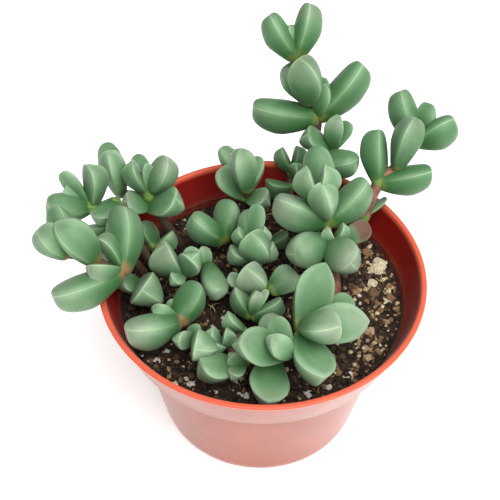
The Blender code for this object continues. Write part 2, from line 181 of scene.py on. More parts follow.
# Loose grit smaller than the pebbles: place, radius and shade, from 0, dark, to 1, white
SMALL_GRIT = (
    (-28.3, -21.5, 1.0, 0.97),
    (-4.4, -37.3, 1.0, 0.97),
    (-13.4, -35.8, 0.9, 0.95),
    (20.0, -33.4, 1.1, 0.90),
    (35.2, 11.7, 1.5, 0.78),
    (41.0, 4.5, 1.3, 0.74),
    (31.2, 25.9, 1.4, 0.66),
    (31.4, 25.6, 1.1, 0.74),
    (31.0, -8.0, 1.2, 0.70),
    (33.5, -12.5, 1.4, 0.66),
    (29.0, -14.0, 1.0, 0.74),
    (38.5, -9.0, 1.2, 0.62),
)

# Fineness of each kind of grain, and how deep it sits in the soil as a share of its radius
PEBBLE_KIND = (4, 0.85)
SMALL_GRIT_KIND = (3, 0.7)
CLOD_KIND = (3, 0.6)
CRUMB_KIND = (1, 0.35)
# Shades of the pebbles on the left and on the right, and where the right begins
PEBBLE_SHADES = (0.97, 0.84)
PEBBLE_SIDE = 30

# Clods of dry soil on the right: how many are drawn, how far left and how far to the front and back
# they lie, their radii and shades, and their least distance from a stem's foot
CLODS = 46
CLOD_LEFT = 14.0
CLOD_DEPTHS = (-34.0, 30.0)
CLOD_RADIUS = (0.9, 2.0)
CLOD_SHADES = (0.34, 0.68)
CLOD_CLEARANCE = 3.5

# Crumbs: the least radius, what is added at most, and how much commoner small ones are
CRUMB_RADIUS = (0.28, 0.75)
CRUMB_POWER = 2.2
# Crumbs that are made in one part of the heap
HEAP_PART = 50
# A grain's width, depth and height as shares of its radius, its tilt in radians, and its roughness:
# the height of its bumps and how many there are to a radius, of the finest bumps, and of the pits
GRAIN_SPANS = ((0.7, 1.15), (0.7, 1.15), (0.55, 0.95))
GRAIN_TILT = 0.6
BUMP_HEIGHT, BUMP_COUNT = 0.45, 1.3
FINE_HEIGHT, FINE_COUNT = 0.16, 4.0
PIT_DEPTH, PIT_COUNT = 0.10, 3.2
# Shades of the grains, and the share that is white, the share of the dry ones that is cream, the dry
# share on the left and what the right adds to it, and where the right begins and over what width
WHITE_SHADES = (0.9, 1.0)
CREAM_SHADES = (0.65, 0.85)
TAN_SHADES = (0.42, 0.65)
PEAT_SHADES = (0.0, 0.36)
WHITE_SHARE = 0.012
CREAM_SHARE = 0.25
DRY_SHARES = (0.14, 0.32)
DRY_SIDE, DRY_WIDTH = 18.0, 16.0

# Fibres: lengths, radii and shades, bend as a share of the length, rise above the soil, most lift of
# an end, and faces along and round one
FIBRE_LENGTHS = (2.0, 6.0)
FIBRE_RADII = (0.12, 0.3)
FIBRE_SHADES = (0.3, 0.7)
FIBRE_BEND = 0.35
FIBRE_RISE = 0.45
FIBRE_LIFT = 0.5
FIBRE_FACES = (6, 5)
# Clear strip between the pot and the crumbs, the clods and the fibres
CRUMB_STRIP, CLOD_STRIP, FIBRE_STRIP = 0.6, 2.0, 3.0

# Distance in metres within which points that meet are merged
MERGE_REACH = 0.000005

# Stage, in metres, and the camera's place and sensor in millimetres
LAMP_SIZE = 1.0
LAMP_PLACE = (0.25, -0.36, 0.87)
CLIP_START = 0.01
SENSOR_WIDTH = 36.0
# The way to the bright side, how far a direction may turn from it before the light starts to fade and
# where it is dimmest, as cosines, and the distances between which the floor's glow grows
BRIGHT_SIDE = (0.74, -0.40, 0.54)
SIDE_SPREAD = (-0.5, 0.9)
GLOW_REACH = (0.15, 0.9)
CAMERA_PLACE = (-3.91, -220.99, 312.86)

# Each shoot is its stem's route from the soil up, and its whorls. A whorl is the place that its leaves
# grow from, the heading and rise that the stem has there, and each leaf's heading, rise, length and
# width. Headings are counted from +X towards +Y.
SHOOTS = {
    "shoot_tall": (
        ((19, 29.5, 50), (19, 38, 62), (17, 45, 71), (17, 49, 81), (14, 52, 87), (10, 57, 99), (9, 58, 101)),
        (
            ((19, 42, 69.5), (0, 80), ((320, 25, 14.5, 10),)),
            ((21, 44, 74), (0, 30), ((207, 40, 11, 9),)),
            ((23, 43, 74), (45, 65), ((80, 80, 11, 7.5), (50, 45, 9, 6))),
            ((17, 49, 81), (126, 54), ((177, 5, 21, 12), (32, 39, 22, 12))),
            ((17, 49, 82), (85, 60), ((60, 71, 10.5, 7), (78, 50, 12, 6), (162, 17, 8, 4.5))),
            ((13.5, 51.5, 86), (146, 60), ((203, 80, 17, 12.5), (138, 40, 13, 9))),
            ((9.5, 56.5, 99), (109, 53), ((140, 41, 15.5, 9.5), (66, 48, 17, 9.5))),
            ((9, 57, 100), (103, 47), ((108, 52, 9, 4.5), (86, 45, 9, 4.5))),
        ),
    ),
    "shoot_tall_foot": (
        ((8, 33, 50), (9, 40, 56), (9.5, 43.5, 62)),
        (
            ((9, 41.5, 57.5), (85, 60), ((195, 20, 8.5, 8.5),)),
            ((9.5, 44, 62.5), (96, 52), ((128, 40, 8, 6.5), (68, 46, 8, 6.5), (295, 57, 6, 5))),
        ),
    ),
    "shoot_middle_right": (
        ((23, 1, 50), (22, 5, 57), (20, 10.5, 63), (19, 15, 69), (16, 16, 77)),
        (
            ((20, 10.5, 63), (275, 41), ((222, 19, 15.5, 11.5), (298, 18, 15, 11.5))),
            ((25, 12, 63), (307, 47), ((38, 0, 10.5, 7.5),)),
            ((21.5, 9.5, 65), (136, 79), ((178, 70, 6, 5), (18, 60, 7, 5))),
            ((19.5, 15, 68), (112, 48), ((180, 27, 18, 11.5), (43, 17, 18.5, 11.5))),
            ((18.5, 15.5, 71), (127, 69), ((245, 80, 15, 10.5), (98, 33, 21, 10.5))),
            ((16, 16, 77), (139, 78), ((165, 70, 12, 8.5), (24, 76, 12, 9))),
        ),
    ),
    "shoot_outer_right": (
        ((29, 20.5, 50), (32, 23.5, 62), (36.5, 29, 72), (42, 32, 76), (47, 36, 83), (48, 37, 85)),
        (
            ((32, 23.5, 62), (47, 66), ((37, 11, 10, 3),)),
            ((36.5, 29, 72), (45, 33), ((97, 40, 16.5, 9.5), (12, 2, 17, 10.5))),
            ((42, 32, 76), (57, 57), ((52, 71, 17, 10.5), (78, 49, 12.5, 7))),
            ((47.5, 36, 83), (53, 53), ((120, 44, 16.5, 10), (2, 35, 13.5, 10.5))),
            ((47.5, 37, 84), (76, 39), ((61, 49, 11, 7.5),)),
        ),
    ),
    "shoot_front": (
        ((4, -24, 50), (4, -27, 57), (7, -32, 62), (9.5, -29.5, 65), (12, -27, 67)),
        (
            ((12, -27, 66), (320, 50), ((76, 20, 22, 13), (286, -2, 16.5, 13))),
            ((12, -26.5, 68), (350, 20), ((330, 33, 12.5, 11), (16, -9, 19.5, 12))),
            ((20, -17, 62), (340, 60), ((47, 0, 9, 7.5),)),
            ((3, -30.5, 58), (300, 65), ((264, -2, 15.5, 12), (92, 12, 14, 9))),
            ((7, -32, 64), (300, 65), ((197, 30, 17, 11.5),)),
            ((7.5, -34, 66), (135, 55), ((186, 59, 9, 8), (110, 10, 11.5, 7))),
        ),
    ),
    "shoot_front_low": (
        ((-9, -22, 50), (-9.5, -24, 56), (-7, -31, 57), (-5, -33, 58)),
        (
            ((-7, -32, 57), (0, 75), ((201, 22, 12, 11),)),
            ((-5.5, -33, 58), (244, 53), ((180, 50, 5.5, 5), (240, 21, 6.5, 5))),
            (
                (-11.5, -25, 57),
                (0, 88),
                ((175, 61, 7, 6), (354, 78, 7, 5.5), (242, 49, 7, 5.5), (345, 60, 6, 4.5)),
            ),
            ((-5, -19, 57), (27, 40), ((176, 48, 8, 6.5),)),
            ((-19.5, -23.5, 58), (253, 40), ((277, 37, 12, 10), (225, 32, 8, 6), (100, 0, 5, 5))),
        ),
    ),
    "shoot_left_front": (
        ((-24, -12, 50), (-24, -15, 56), (-25, -19, 60)),
        (
            ((-25, -19, 60), (141, 53), ((211, 17, 16.5, 11.5), (70, 7, 14, 10.5))),
            ((-26, -18, 61), (130, 30), ((184, 42, 7.5, 6), (104, -2, 6.5, 4))),
        ),
    ),
    "shoot_left_inner": (
        ((-22, 5, 50), (-22.5, 4, 56), (-24, 0, 61)),
        (
            ((-25, 2, 58), (33, 49), ((180, 69, 13, 11.5),)),
            ((-17, 5, 58), (0, 60), ((290, 0, 13, 8.5), (100, 7, 7, 5))),
            ((-24, -1, 61), (255, 42), ((322, 67, 10, 8.5), (240, 20, 6, 5.5), (67, 18, 9, 6))),
        ),
    ),
    "shoot_left_bud": (
        ((-31, 14.5, 50), (-33.5, 14.5, 56)),
        (
            ((-34, 14.5, 56), (82, 33), ((110, 12, 9.5, 8.5), (40, 12, 7.5, 7))),
        ),
    ),
    "shoot_left_outer": (
        ((-35.5, 4.5, 50), (-38.5, 4.5, 58), (-41.5, 1, 64), (-43, -7, 69), (-49, -8, 74), (-57, -8, 77)),
        (
            ((-42, -8, 69), (163, 39), ((92, 25, 20, 12.5), (211, -1, 21, 11.5))),
            ((-42.5, -7.5, 70), (181, 47), ((147, 53, 11.5, 8.5), (212, 32, 10.5, 8))),
            ((-49, -8, 74), (181, 26), ((172, 55, 16.5, 11),)),
            ((-57, -8, 77), (146, 32), ((168, 45, 11, 10.5), (109, 16, 15, 9))),
        ),
    ),
    "shoot_left_low": (
        ((-33, -7, 50), (-36, -3, 54.5), (-37.5, -1, 57)),
        (
            ((-37.5, -1, 56), (237, 57), ((284, 38, 12.5, 12), (216, 40, 8, 7), (30, 2, 5.5, 4.5))),
        ),
    ),
    "shoot_left_back": (
        ((-34, 9.5, 50), (-40, 13, 61), (-49, 15, 70), (-54, 15, 74)),
        (
            ((-45.5, 19, 72), (60, 40), ((233, 2, 10, 8.5),)),
            ((-47.5, 13.5, 66.5), (115, 54), ((195, -1, 10, 8),)),
            ((-53.5, 16, 72), (184, 60), ((78, 72, 14, 10), (200, 20, 13.5, 10.5))),
            ((-54, 14.5, 74), (159, 47), ((153, 34, 8.5, 6.5), (141, 41, 12.5, 6))),
        ),
    ),
    "shoot_back_left": (
        ((-27, 22, 50), (-33, 23.5, 61), (-36, 23, 70), (-36, 24, 73)),
        (
            ((-45, 26, 68), (107, 47), ((114, 30, 17, 8.5), (146, 77, 16, 9))),
            ((-36, 22, 67), (268, 72), ((208, 35, 9, 8.5), (336, 33, 12, 11))),
            ((-36, 24.5, 71), (45, 84), ((174, 66, 12, 8.5), (19, 56, 13, 10), (111, 16, 13, 6.5))),
            ((-35.5, 22.5, 73), (61, 80), ((97, 69, 9, 4), (67, 64, 8, 3.5))),
        ),
    ),
    "shoot_back": (
        ((-3, 33, 50), (-4, 31, 58), (-5, 28, 66), (-5, 27, 71)),
        (
            ((-5, 28.5, 65), (265, 76), ((160, 38, 12.5, 9.5), (327, 26, 8, 8.5))),
            ((-5, 27, 70), (86, 44), ((121, 74, 14, 9.5), (73, 15, 12, 7))),
            ((-5.5, 34, 66), (124, 21), ((132, 29, 14, 7), (132, 41, 11, 4.5))),
        ),
    ),
    "shoot_back_centre": (
        ((-11, 19, 50), (-12, 16.5, 58)),
        (
            ((-12.5, 16, 58), (137, 57), ((84, 30, 13, 9.5), (168, 38, 13, 10))),
        ),
    ),
    "shoot_centre": (
        ((-2, 6, 50), (-3, 7, 60), (-3, 9, 65)),
        (
            ((-3.5, -2, 55.5), (158, 65), ((225, 82, 11, 11), (160, 18, 8, 6))),
            ((2, 16, 57), (151, 57), ((35, 4, 7, 7),)),
            (
                (-3, 7, 60),
                (133, 73),
                ((253, 88, 11, 11.5), (98, 31, 15, 8.5), (184, 27, 8, 7.5), (3, 37, 8, 7.5)),
            ),
            ((-3.5, 9, 64.2), (98, 75), ((168, 47, 6.8, 6.2), (14, 48, 6.8, 6.2), (76, 38, 12, 6.5))),
            ((-3, -13.5, 57), (62, 43), ((116, 12, 10, 8), (21, 18, 10, 8))),
            ((-2.5, -13.5, 58), (50, 57), ((53, 73, 7.5, 5), (58, 26, 8, 3))),
            ((3, -3, 56), (263, 53), ((40, 13, 9.5, 9.5),)),
        ),
    ),
}


class LeafLook(bpy.types.PropertyGroup):
    """Fineness and colours of the leaves."""

    columns: IntProperty(
        name="Columns", description="Faces round a leaf, a multiple of four", default=40, min=16
    )
    rings: IntProperty(name="Rings", description="Faces along a leaf", default=26, min=8)
    bow: FloatProperty(
        name="Bow",
        description="Sideways bend as a share of a leaf's length",
        default=0.035,
        min=0,
        subtype="FACTOR",
    )
    swell: FloatProperty(
        name="Swell", description="Unevenness of a leaf's skin as a share of its width", default=0.035, min=0
    )
    base: FloatVectorProperty(
        name="Base", description="Yellow-green next to the stem", subtype="COLOR", default=(0.12, 0.22, 0.035)
    )
    warm_base: FloatVectorProperty(
        name="Warm base",
        description="Tan-pink next to some stems",
        subtype="COLOR",
        default=(0.26, 0.12, 0.055),
    )
    # Also laid on the middle of each face as painted shade
    inner: FloatVectorProperty(
        name="Inner",
        description="Clear green of the lower half",
        subtype="COLOR",
        default=(0.030, 0.112, 0.027),
    )
    outer: FloatVectorProperty(
        name="Outer",
        description="Grey-green of the outer half",
        subtype="COLOR",
        default=(0.080, 0.200, 0.083),
    )
    bloom: FloatVectorProperty(
        name="Bloom", description="Pale waxy bloom", subtype="COLOR", default=(0.32, 0.45, 0.29)
    )
    edge: FloatVectorProperty(
        name="Edge", description="Thin line on margins and keel", subtype="COLOR", default=(0.20, 0.36, 0.09)
    )
    tip_edge: FloatVectorProperty(
        name="Tip edge", description="The same line near the tip", subtype="COLOR", default=(0.48, 0.66, 0.36)
    )
    blush: FloatVectorProperty(
        name="Blush", description="Grey tint near some tips", subtype="COLOR", default=(0.22, 0.245, 0.18)
    )
    scorch: FloatVectorProperty(
        name="Scorch", description="Brown of a dry patch", subtype="COLOR", default=(0.12, 0.06, 0.035)
    )


class StemLook(bpy.types.PropertyGroup):
    """Fineness and colours of the stems."""

    sides: IntProperty(name="Sides", description="Faces round a stem", default=14, min=6)
    knot: FloatProperty(
        name="Knot", description="Swelling of a stem where leaves grow", default=0.0004, min=0, unit="LENGTH"
    )
    young: FloatVectorProperty(
        name="Young", description="Pink-red of a young stem", subtype="COLOR", default=(0.72, 0.24, 0.20)
    )
    # Partly painted shade: aged stems' brown is made dark enough to stand in for the shade among the leaves
    old_and_shade: FloatVectorProperty(
        name="Old", description="Brown of an old stem", subtype="COLOR", default=(0.085, 0.055, 0.030)
    )
    tan: FloatVectorProperty(
        name="Tan collar",
        description="Dry collar under a pair of leaves",
        subtype="COLOR",
        default=(0.50, 0.29, 0.12),
    )
    green: FloatVectorProperty(
        name="Green collar",
        description="Fresh collar under a pair of leaves",
        subtype="COLOR",
        default=(0.16, 0.30, 0.06),
    )


class SoilLook(bpy.types.PropertyGroup):
    """Fineness and colours of the soil and the grit on it."""

    steps: IntProperty(name="Steps", description="Faces round the soil", default=220, min=32)
    rings: IntProperty(
        name="Rings", description="Faces from the middle to the edge of the soil", default=84, min=8
    )
    crumbs: IntProperty(name="Crumbs", description="Loose crumbs on the soil", default=5600, min=0)
    fibres: IntProperty(name="Fibres", description="Fibres and straws on the soil", default=170, min=0)
    dark: FloatVectorProperty(
        name="Dark", description="Wet peat in the gaps", subtype="COLOR", default=(0.006, 0.004, 0.003)
    )
    brown: FloatVectorProperty(
        name="Brown", description="Peat crumbs", subtype="COLOR", default=(0.066, 0.040, 0.025)
    )
    tan: FloatVectorProperty(
        name="Tan", description="Dry fibre and bark", subtype="COLOR", default=(0.36, 0.21, 0.10)
    )
    cream: FloatVectorProperty(
        name="Cream", description="Pale grit", subtype="COLOR", default=(0.80, 0.67, 0.40)
    )
    white: FloatVectorProperty(
        name="White", description="White grit", subtype="COLOR", default=(0.82, 0.80, 0.76)
    )


class PotLook(bpy.types.PropertyGroup):
    """Fineness and colours of the pot."""

    steps: IntProperty(name="Steps", description="Faces round the pot", default=192, min=48)
    drain_sides: IntProperty(name="Drain sides", description="Faces round a drain hole", default=32, min=8)
    lip_round: FloatProperty(
        name="Lip round", description="Radius of the lip's edges", default=0.0006, min=0.0001, unit="LENGTH"
    )
    plastic: FloatVectorProperty(
        name="Plastic", description="Orange-red of the pot", subtype="COLOR", default=(0.64, 0.105, 0.052)
    )
    # Painted shade: the inside is coloured a much darker red than the plastic to stand in for the shade
    # inside the pot
    inside: FloatVectorProperty(
        name="Inside", description="Deeper red of the inside", subtype="COLOR", default=(0.18, 0.005, 0.003)
    )
    # Painted light: the outer wall gets a colour of its own, apart from the lip's plastic, set for how the
    # light washes over the wall
    outside_painted_light: FloatVectorProperty(
        name="Rubbed", description="Paler skin of the outside", subtype="COLOR", default=(0.30, 0.056, 0.020)
    )
    dust: FloatVectorProperty(
        name="Dust", description="Dried soil on the inside", subtype="COLOR", default=(0.12, 0.06, 0.03)
    )


class StageLook(bpy.types.PropertyGroup):
    """The floor, light and camera."""

    floor_reach: FloatProperty(
        name="Floor reach", description="Half of the floor's side", default=3.0, min=0.5, unit="LENGTH"
    )
    floor: FloatVectorProperty(
        name="Floor", description="Floor colour", subtype="COLOR", default=(0.93, 0.93, 0.93)
    )
    sky: FloatProperty(name="Sky", description="Strength of the light from the dim side", default=0.2, min=0)
    window: FloatProperty(
        name="Window", description="Strength of the light from the bright side", default=0.8, min=0
    )
    lamp: FloatProperty(
        name="Lamp", description="Power of the soft lamp above", default=11.5, min=0, unit="POWER"
    )
    glow: FloatProperty(
        name="Glow", description="Light that the floor gives off near the pot", default=0.42, min=0
    )
    far_glow: FloatProperty(
        name="Far glow", description="Light that the floor gives off far away", default=0.65, min=0
    )
    lens: FloatProperty(
        name="Lens",
        description="Focal length on a 36 mm sensor",
        default=79.2,
        min=10,
        unit="CAMERA",
        subtype="NONE",
    )
    tilt: FloatProperty(
        name="Tilt", description="Camera's slope below level", default=math.radians(47.6), subtype="ANGLE"
    )
    roll: FloatProperty(name="Roll", description="Camera's roll", default=math.radians(0.9), subtype="ANGLE")


class IcePlantSettings(bpy.types.PropertyGroup):
    """All settings of the potted ice plant."""

    leaf: PointerProperty(type=LeafLook)
    stem: PointerProperty(type=StemLook)
    soil: PointerProperty(type=SoilLook)
    pot: PointerProperty(type=PotLook)
    stage: PointerProperty(type=StageLook)


def put(tree, kind, inputs=None, **settings):
    """A new node with its settings, and each given input set to a value or linked to a socket."""
    node = tree.nodes.new(kind)
    for name, value in settings.items():
        setattr(node, name, value)
    for key, value in (inputs or {}).items():
        if isinstance(value, bpy.types.NodeSocket):
            tree.links.new(value, node.inputs[key])
        else:
            node.inputs[key].default_value = value
    return node


def maths(tree, operation, *values):
    return put(tree, "ShaderNodeMath", dict(enumerate(values)), operation=operation).outputs[0]


def times(tree, first, second):
    return maths(tree, "MULTIPLY", first, second)


def fade(tree, value, start, end, low=0.0, high=1.0):
    """The value turned smoothly from low at start to high at end."""
    inputs = {"Value": value, "From Min": start, "From Max": end, "To Min": low, "To Max": high}
    return put(tree, "ShaderNodeMapRange", inputs, interpolation_type="SMOOTHSTEP").outputs["Result"]


def blend_colours(tree, factor, first, second):
    first = first if isinstance(first, bpy.types.NodeSocket) else (*first, 1.0)
    second = second if isinstance(second, bpy.types.NodeSocket) else (*second, 1.0)
    return put(tree, "ShaderNodeMix", {0: factor, 6: first, 7: second}, data_type="RGBA").outputs[2]


def ramp(tree, factor, stops):
    """A colour ramp with stops of (place, colour)."""
    node = put(tree, "ShaderNodeValToRGB", {0: factor})
    elements = node.color_ramp.elements
    while len(elements) < len(stops):
        elements.new(0.5)
    for element, (place, colour) in zip(elements, stops):
        element.position = place
        element.color = (*colour, 1.0)
    return node.outputs["Color"]


def attribute(tree, name):
    return put(tree, "ShaderNodeAttribute", attribute_name=name).outputs["Fac"]


def new_group(name, inputs, outputs):
    """A shader node group with number inputs and outputs, and its input and output nodes."""
    tree = bpy.data.node_groups.new(name, "ShaderNodeTree")
    for label, value in inputs:
        tree.interface.new_socket(label, in_out="INPUT", socket_type="NodeSocketFloat").default_value = value
    for label in outputs:
        tree.interface.new_socket(label, in_out="OUTPUT", socket_type="NodeSocketFloat")
    return tree, tree.nodes.new("NodeGroupInput"), tree.nodes.new("NodeGroupOutput")


def mottle_group():
    """Cloudy variation of two sizes, each from 0 to 1; sizes are in millimetres."""
    name = "Mottle"
    if name in bpy.data.node_groups:
        return bpy.data.node_groups[name]
    tree, given, made = new_group(name, (("Broad Size", 6.0), ("Fine Size", 0.8)), ("Broad", "Fine"))
    place = put(tree, "ShaderNodeTexCoord").outputs["Object"]
    for size, label, detail in (("Broad Size", "Broad", 3.0), ("Fine Size", "Fine", 4.0)):
        scale = maths(tree, "DIVIDE", 1000.0, given.outputs[size])
        inputs = {"Vector": place, "Scale": scale, "Detail": detail, "Roughness": 0.6}
        cloud = put(tree, "ShaderNodeTexNoise", inputs)
        tree.links.new(fade(tree, cloud.outputs[0], 0.3, 0.7), made.inputs[label])
    return tree


def speckle_group():
    """Small separate dots: 1 inside a dot and 0 outside; spacing and dot radius are in millimetres."""
    name = "Speckle"
    if name in bpy.data.node_groups:
        return bpy.data.node_groups[name]
    tree, given, made = new_group(name, (("Spacing", 1.2), ("Dot", 0.12), ("Share", 0.6)), ("Dots",))
    place = put(tree, "ShaderNodeTexCoord").outputs["Object"]
    scale = maths(tree, "DIVIDE", 1000.0, given.outputs["Spacing"])
    cells = put(tree, "ShaderNodeTexVoronoi", {"Vector": place, "Scale": scale})
    radius = maths(tree, "DIVIDE", given.outputs["Dot"], given.outputs["Spacing"])
    inside = fade(tree, cells.outputs["Distance"], times(tree, radius, 0.6), radius, 1.0, 0.0)
    pick = put(tree, "ShaderNodeSeparateColor", {0: cells.outputs["Color"]}).outputs[0]
    chosen = maths(tree, "LESS_THAN", pick, given.outputs["Share"])
    tree.links.new(times(tree, inside, chosen), made.inputs["Dots"])
    return tree


def place_group(tree, group, inputs):
    node = tree.nodes.new("ShaderNodeGroup")
    node.node_tree = group
    for label, value in inputs.items():
        node.inputs[label].default_value = value
    return node


def mottled(tree, broad_size, fine_size):
    """The broad and the fine clouds of the shared mottle, with this material's sizes."""
    node = place_group(tree, mottle_group(), {"Broad Size": broad_size, "Fine Size": fine_size})
    return node.outputs["Broad"], node.outputs["Fine"]


def speckled(tree, spacing, dot, share):
    """The dots of the shared speckle, with this material's spacing, dot radius and share of cells."""
    node = place_group(tree, speckle_group(), {"Spacing": spacing, "Dot": dot, "Share": share})
    return node.outputs["Dots"]


def new_material(name, plain, **sockets):
    """A material with its display colour, its Principled shader's plain sockets set, and its tree."""
    material = bpy.data.materials.new(name)
    material.use_nodes = True
    material.diffuse_color = (*plain, 1.0)
    shader = material.node_tree.nodes["Principled BSDF"]
    for label, value in sockets.items():
        shader.inputs[label.replace("_", " ")].default_value = value
    return material, material.node_tree, shader


def connect(tree, shader, colour, roughness, height, depth):
    """Colour, roughness and a bump of a depth in millimetres to the shader."""
    tree.links.new(colour, shader.inputs["Base Color"])
    tree.links.new(roughness, shader.inputs["Roughness"])
    bump = put(tree, "ShaderNodeBump", {"Strength": 1.0, "Distance": depth * MM, "Height": height})
    tree.links.new(bump.outputs["Normal"], shader.inputs["Normal"])


def leaf_material(look):
    """Waxy grey-green skin with a yellow-green base, thin pale edges, and a few specks and blushes."""
    material, tree, shader = new_material(
        "leaf_skin", look.outer, Sheen_Weight=0.06, Sheen_Roughness=0.5, Specular_IOR_Level=0.35
    )
    along, ridge, blush = (attribute(tree, label) for label in ("along", "ridge", "blush"))
    broad, fine = mottled(tree, 9.0, 0.7)
    dots = speckled(tree, 1.3, 0.14, 0.5)
    # From the base to the tip, by a distance that wanders a little
    reach = maths(tree, "ADD", along, maths(tree, "MULTIPLY_ADD", broad, 0.10, -0.05))
    base = blend_colours(tree, attribute(tree, "collar"), look.base, look.warm_base)
    skin = ramp(tree, reach, ((0.0, look.inner), (0.20, look.inner), (0.75, look.outer), (1.0, look.outer)))
    skin = blend_colours(tree, fade(tree, reach, 0.05, 0.19, 0.9, 0.0), skin, base)
    # The green is darker and clearer away from the edges: partly thinner bloom there, partly painted shade on
    # each face
    facet = fade(tree, ridge, 0.5, 3.0)
    skin = blend_colours(tree, times(tree, facet, 0.45), skin, look.inner)
    cloud = fade(tree, broad, 0.0, 1.0, 0.7, 1.0)
    waxy = times(tree, times(tree, fade(tree, reach, 0.15, 0.95), cloud), attribute(tree, "tone"))
    waxy = times(tree, waxy, fade(tree, facet, 0.0, 1.0, 1.1, 0.65))
    skin = blend_colours(tree, waxy, skin, look.bloom)
    skin = blend_colours(tree, times(tree, fade(tree, reach, 0.55, 0.98), blush), skin, look.blush)
    dry = times(tree, fade(tree, blush, 0.6, 0.95), fade(tree, reach, 0.40, 0.62))
    skin = blend_colours(tree, dry, skin, look.scorch)
    # Margins and keel: a faint halo with a thin line in it
    halo = times(tree, fade(tree, ridge, 0.2, 1.4, 0.18, 0.0), fade(tree, along, 0.1, 0.4))
    skin = blend_colours(tree, halo, skin, look.bloom)
    line = times(tree, fade(tree, ridge, 0.06, 0.28, 0.46, 0.0), fade(tree, along, 0.05, 0.35))
    margin = blend_colours(tree, fade(tree, along, 0.3, 1.0), look.edge, look.tip_edge)
    skin = blend_colours(tree, line, skin, margin)
    skin = blend_colours(tree, times(tree, dots, 0.35), skin, look.bloom)
    height = maths(tree, "MULTIPLY_ADD", fine, 0.5, dots)
    connect(tree, shader, skin, fade(tree, fine, 0.0, 1.0, 0.40, 0.56), height, 0.035)
    return material


def stem_material(look):
    """Pink-red to brown bark, the brown partly darkened as painted shade, with tan or yellow-green collars
    where leaves grow.
    """
    material, tree, shader = new_material("stem_bark", look.young, Specular_IOR_Level=0.35)
    broad, fine = mottled(tree, 2.2, 0.5)
    age_and_shade = maths(tree, "ADD", attribute(tree, "age_and_shade"), maths(tree, "MULTIPLY_ADD", broad, 0.3, 0.5))
    # Aged bark goes to a brown that is partly painted shade
    bark = blend_colours(tree, fade(tree, age_and_shade, 0.2, 0.9), look.young, look.old_and_shade)
    collar = blend_colours(tree, fade(tree, attribute(tree, "tone"), 0.3, 0.7), look.green, look.tan)
    bark = blend_colours(tree, fade(tree, attribute(tree, "collar"), 0.2, 0.8), bark, collar)
    bark = blend_colours(tree, times(tree, fine, 0.35), bark, look.old_and_shade)
    connect(tree, shader, bark, fade(tree, fine, 0.0, 1.0, 0.5, 0.75), fine, 0.10)
    return material


def soil_material(look):
    """Dark damp peat with brown crumbs and a few tan specks."""
    material, tree, shader = new_material("soil_mix", look.brown, Specular_IOR_Level=0.25)
    broad, fine = mottled(tree, 1.8, 0.35)
    peat = blend_colours(tree, broad, look.dark, look.brown)
    peat = blend_colours(tree, times(tree, speckled(tree, 0.9, 0.22, 0.25), 0.6), peat, look.tan)
    connect(tree, shader, peat, fade(tree, fine, 0.0, 1.0, 0.75, 0.98), fine, 0.25)
    return material


def grit_material(look):
    """Crumbs and grains from damp peat through brown and tan to cream and white, by each one's shade."""
    material, tree, shader = new_material("grit_grains", look.tan, Specular_IOR_Level=0.25)
    broad, fine = mottled(tree, 1.1, 0.25)
    stops = ((0.0, look.dark), (0.3, look.brown), (0.55, look.tan), (0.8, look.cream), (1.0, look.white))
    grain = ramp(tree, attribute(tree, "shade"), stops)
    grain = blend_colours(tree, times(tree, times(tree, broad, fine), 0.55), grain, look.brown)
    connect(tree, shader, grain, fade(tree, fine, 0.0, 1.0, 0.7, 0.95), fine, 0.15)
    return material


def pot_material(look):
    """Orange-red moulded plastic, darkened inside as painted shade, with painted light on the outer wall as a
    colour of its own, and dried soil low on the inside.
    """
    material, tree, shader = new_material(
        "pot_plastic",
        look.plastic,
        Specular_IOR_Level=0.3,
        Coat_Roughness=0.22,
        Coat_IOR=1.5,
        Sheen_Weight=0.2,
        Sheen_Roughness=0.3,
    )
    outside, inside = attribute(tree, "outside"), attribute(tree, "inside")
    broad, fine = mottled(tree, 14.0, 1.2)
    # Painted shade inside the pot, as a darker red
    skin = blend_colours(tree, inside, look.plastic, look.inside)
    # Painted light on the outer wall, as a colour of its own that a faint cloud varies
    outside_painted_light = times(tree, outside, fade(tree, broad, 0.0, 1.0, 0.85, 1.0))
    skin = blend_colours(tree, outside_painted_light, skin, look.outside_painted_light)
    place = put(tree, "ShaderNodeTexCoord").outputs["Object"]
    height = put(tree, "ShaderNodeSeparateXYZ", {0: place}).outputs["Z"]
    low, high = ((SOIL_LEVEL + rise) * MM for rise in SOIL_STAIN)
    soiled = times(tree, times(tree, fade(tree, height, low, high, 0.8, 0.0), inside), fine)
    skin = blend_colours(tree, soiled, skin, look.dust)
    skin = blend_colours(tree, times(tree, speckled(tree, 3.5, 0.20, 0.35), 0.4), skin, look.dust)
    tree.links.new(times(tree, outside, 0.1), shader.inputs["Coat Weight"])
    connect(tree, shader, skin, fade(tree, fine, 0.0, 1.0, 0.34, 0.38), fine, 0.006)
    return material


def floor_material(look):
    """Plain pale paper with a painted glow, fainter near the pot than far away."""
    material, tree, shader = new_material("stage_paper", look.floor, Specular_IOR_Level=0.1)
    place = put(tree, "ShaderNodeTexCoord").outputs["Object"]
    grain = put(tree, "ShaderNodeTexNoise", {"Vector": place, "Scale": 900.0, "Detail": 2.0})
    paler = tuple(min(value * 1.03, 1.0) for value in look.floor)
    tree.links.new(blend_colours(tree, grain.outputs[0], look.floor, paler), shader.inputs["Base Color"])
    distance = put(tree, "ShaderNodeVectorMath", {0: place}, operation="LENGTH").outputs["Value"]
    glow = blend_colours(tree, fade(tree, distance, *GLOW_REACH), (look.glow,) * 3, (look.far_glow,) * 3)
    tree.links.new(glow, shader.inputs["Emission Color"])
    shader.inputs["Roughness"].default_value = 0.9
    shader.inputs["Emission Strength"].default_value = 1.0
    return material


def smoothstep(value):
    value = min(max(value, 0.0), 1.0)
    return value * value * (3.0 - 2.0 * value)


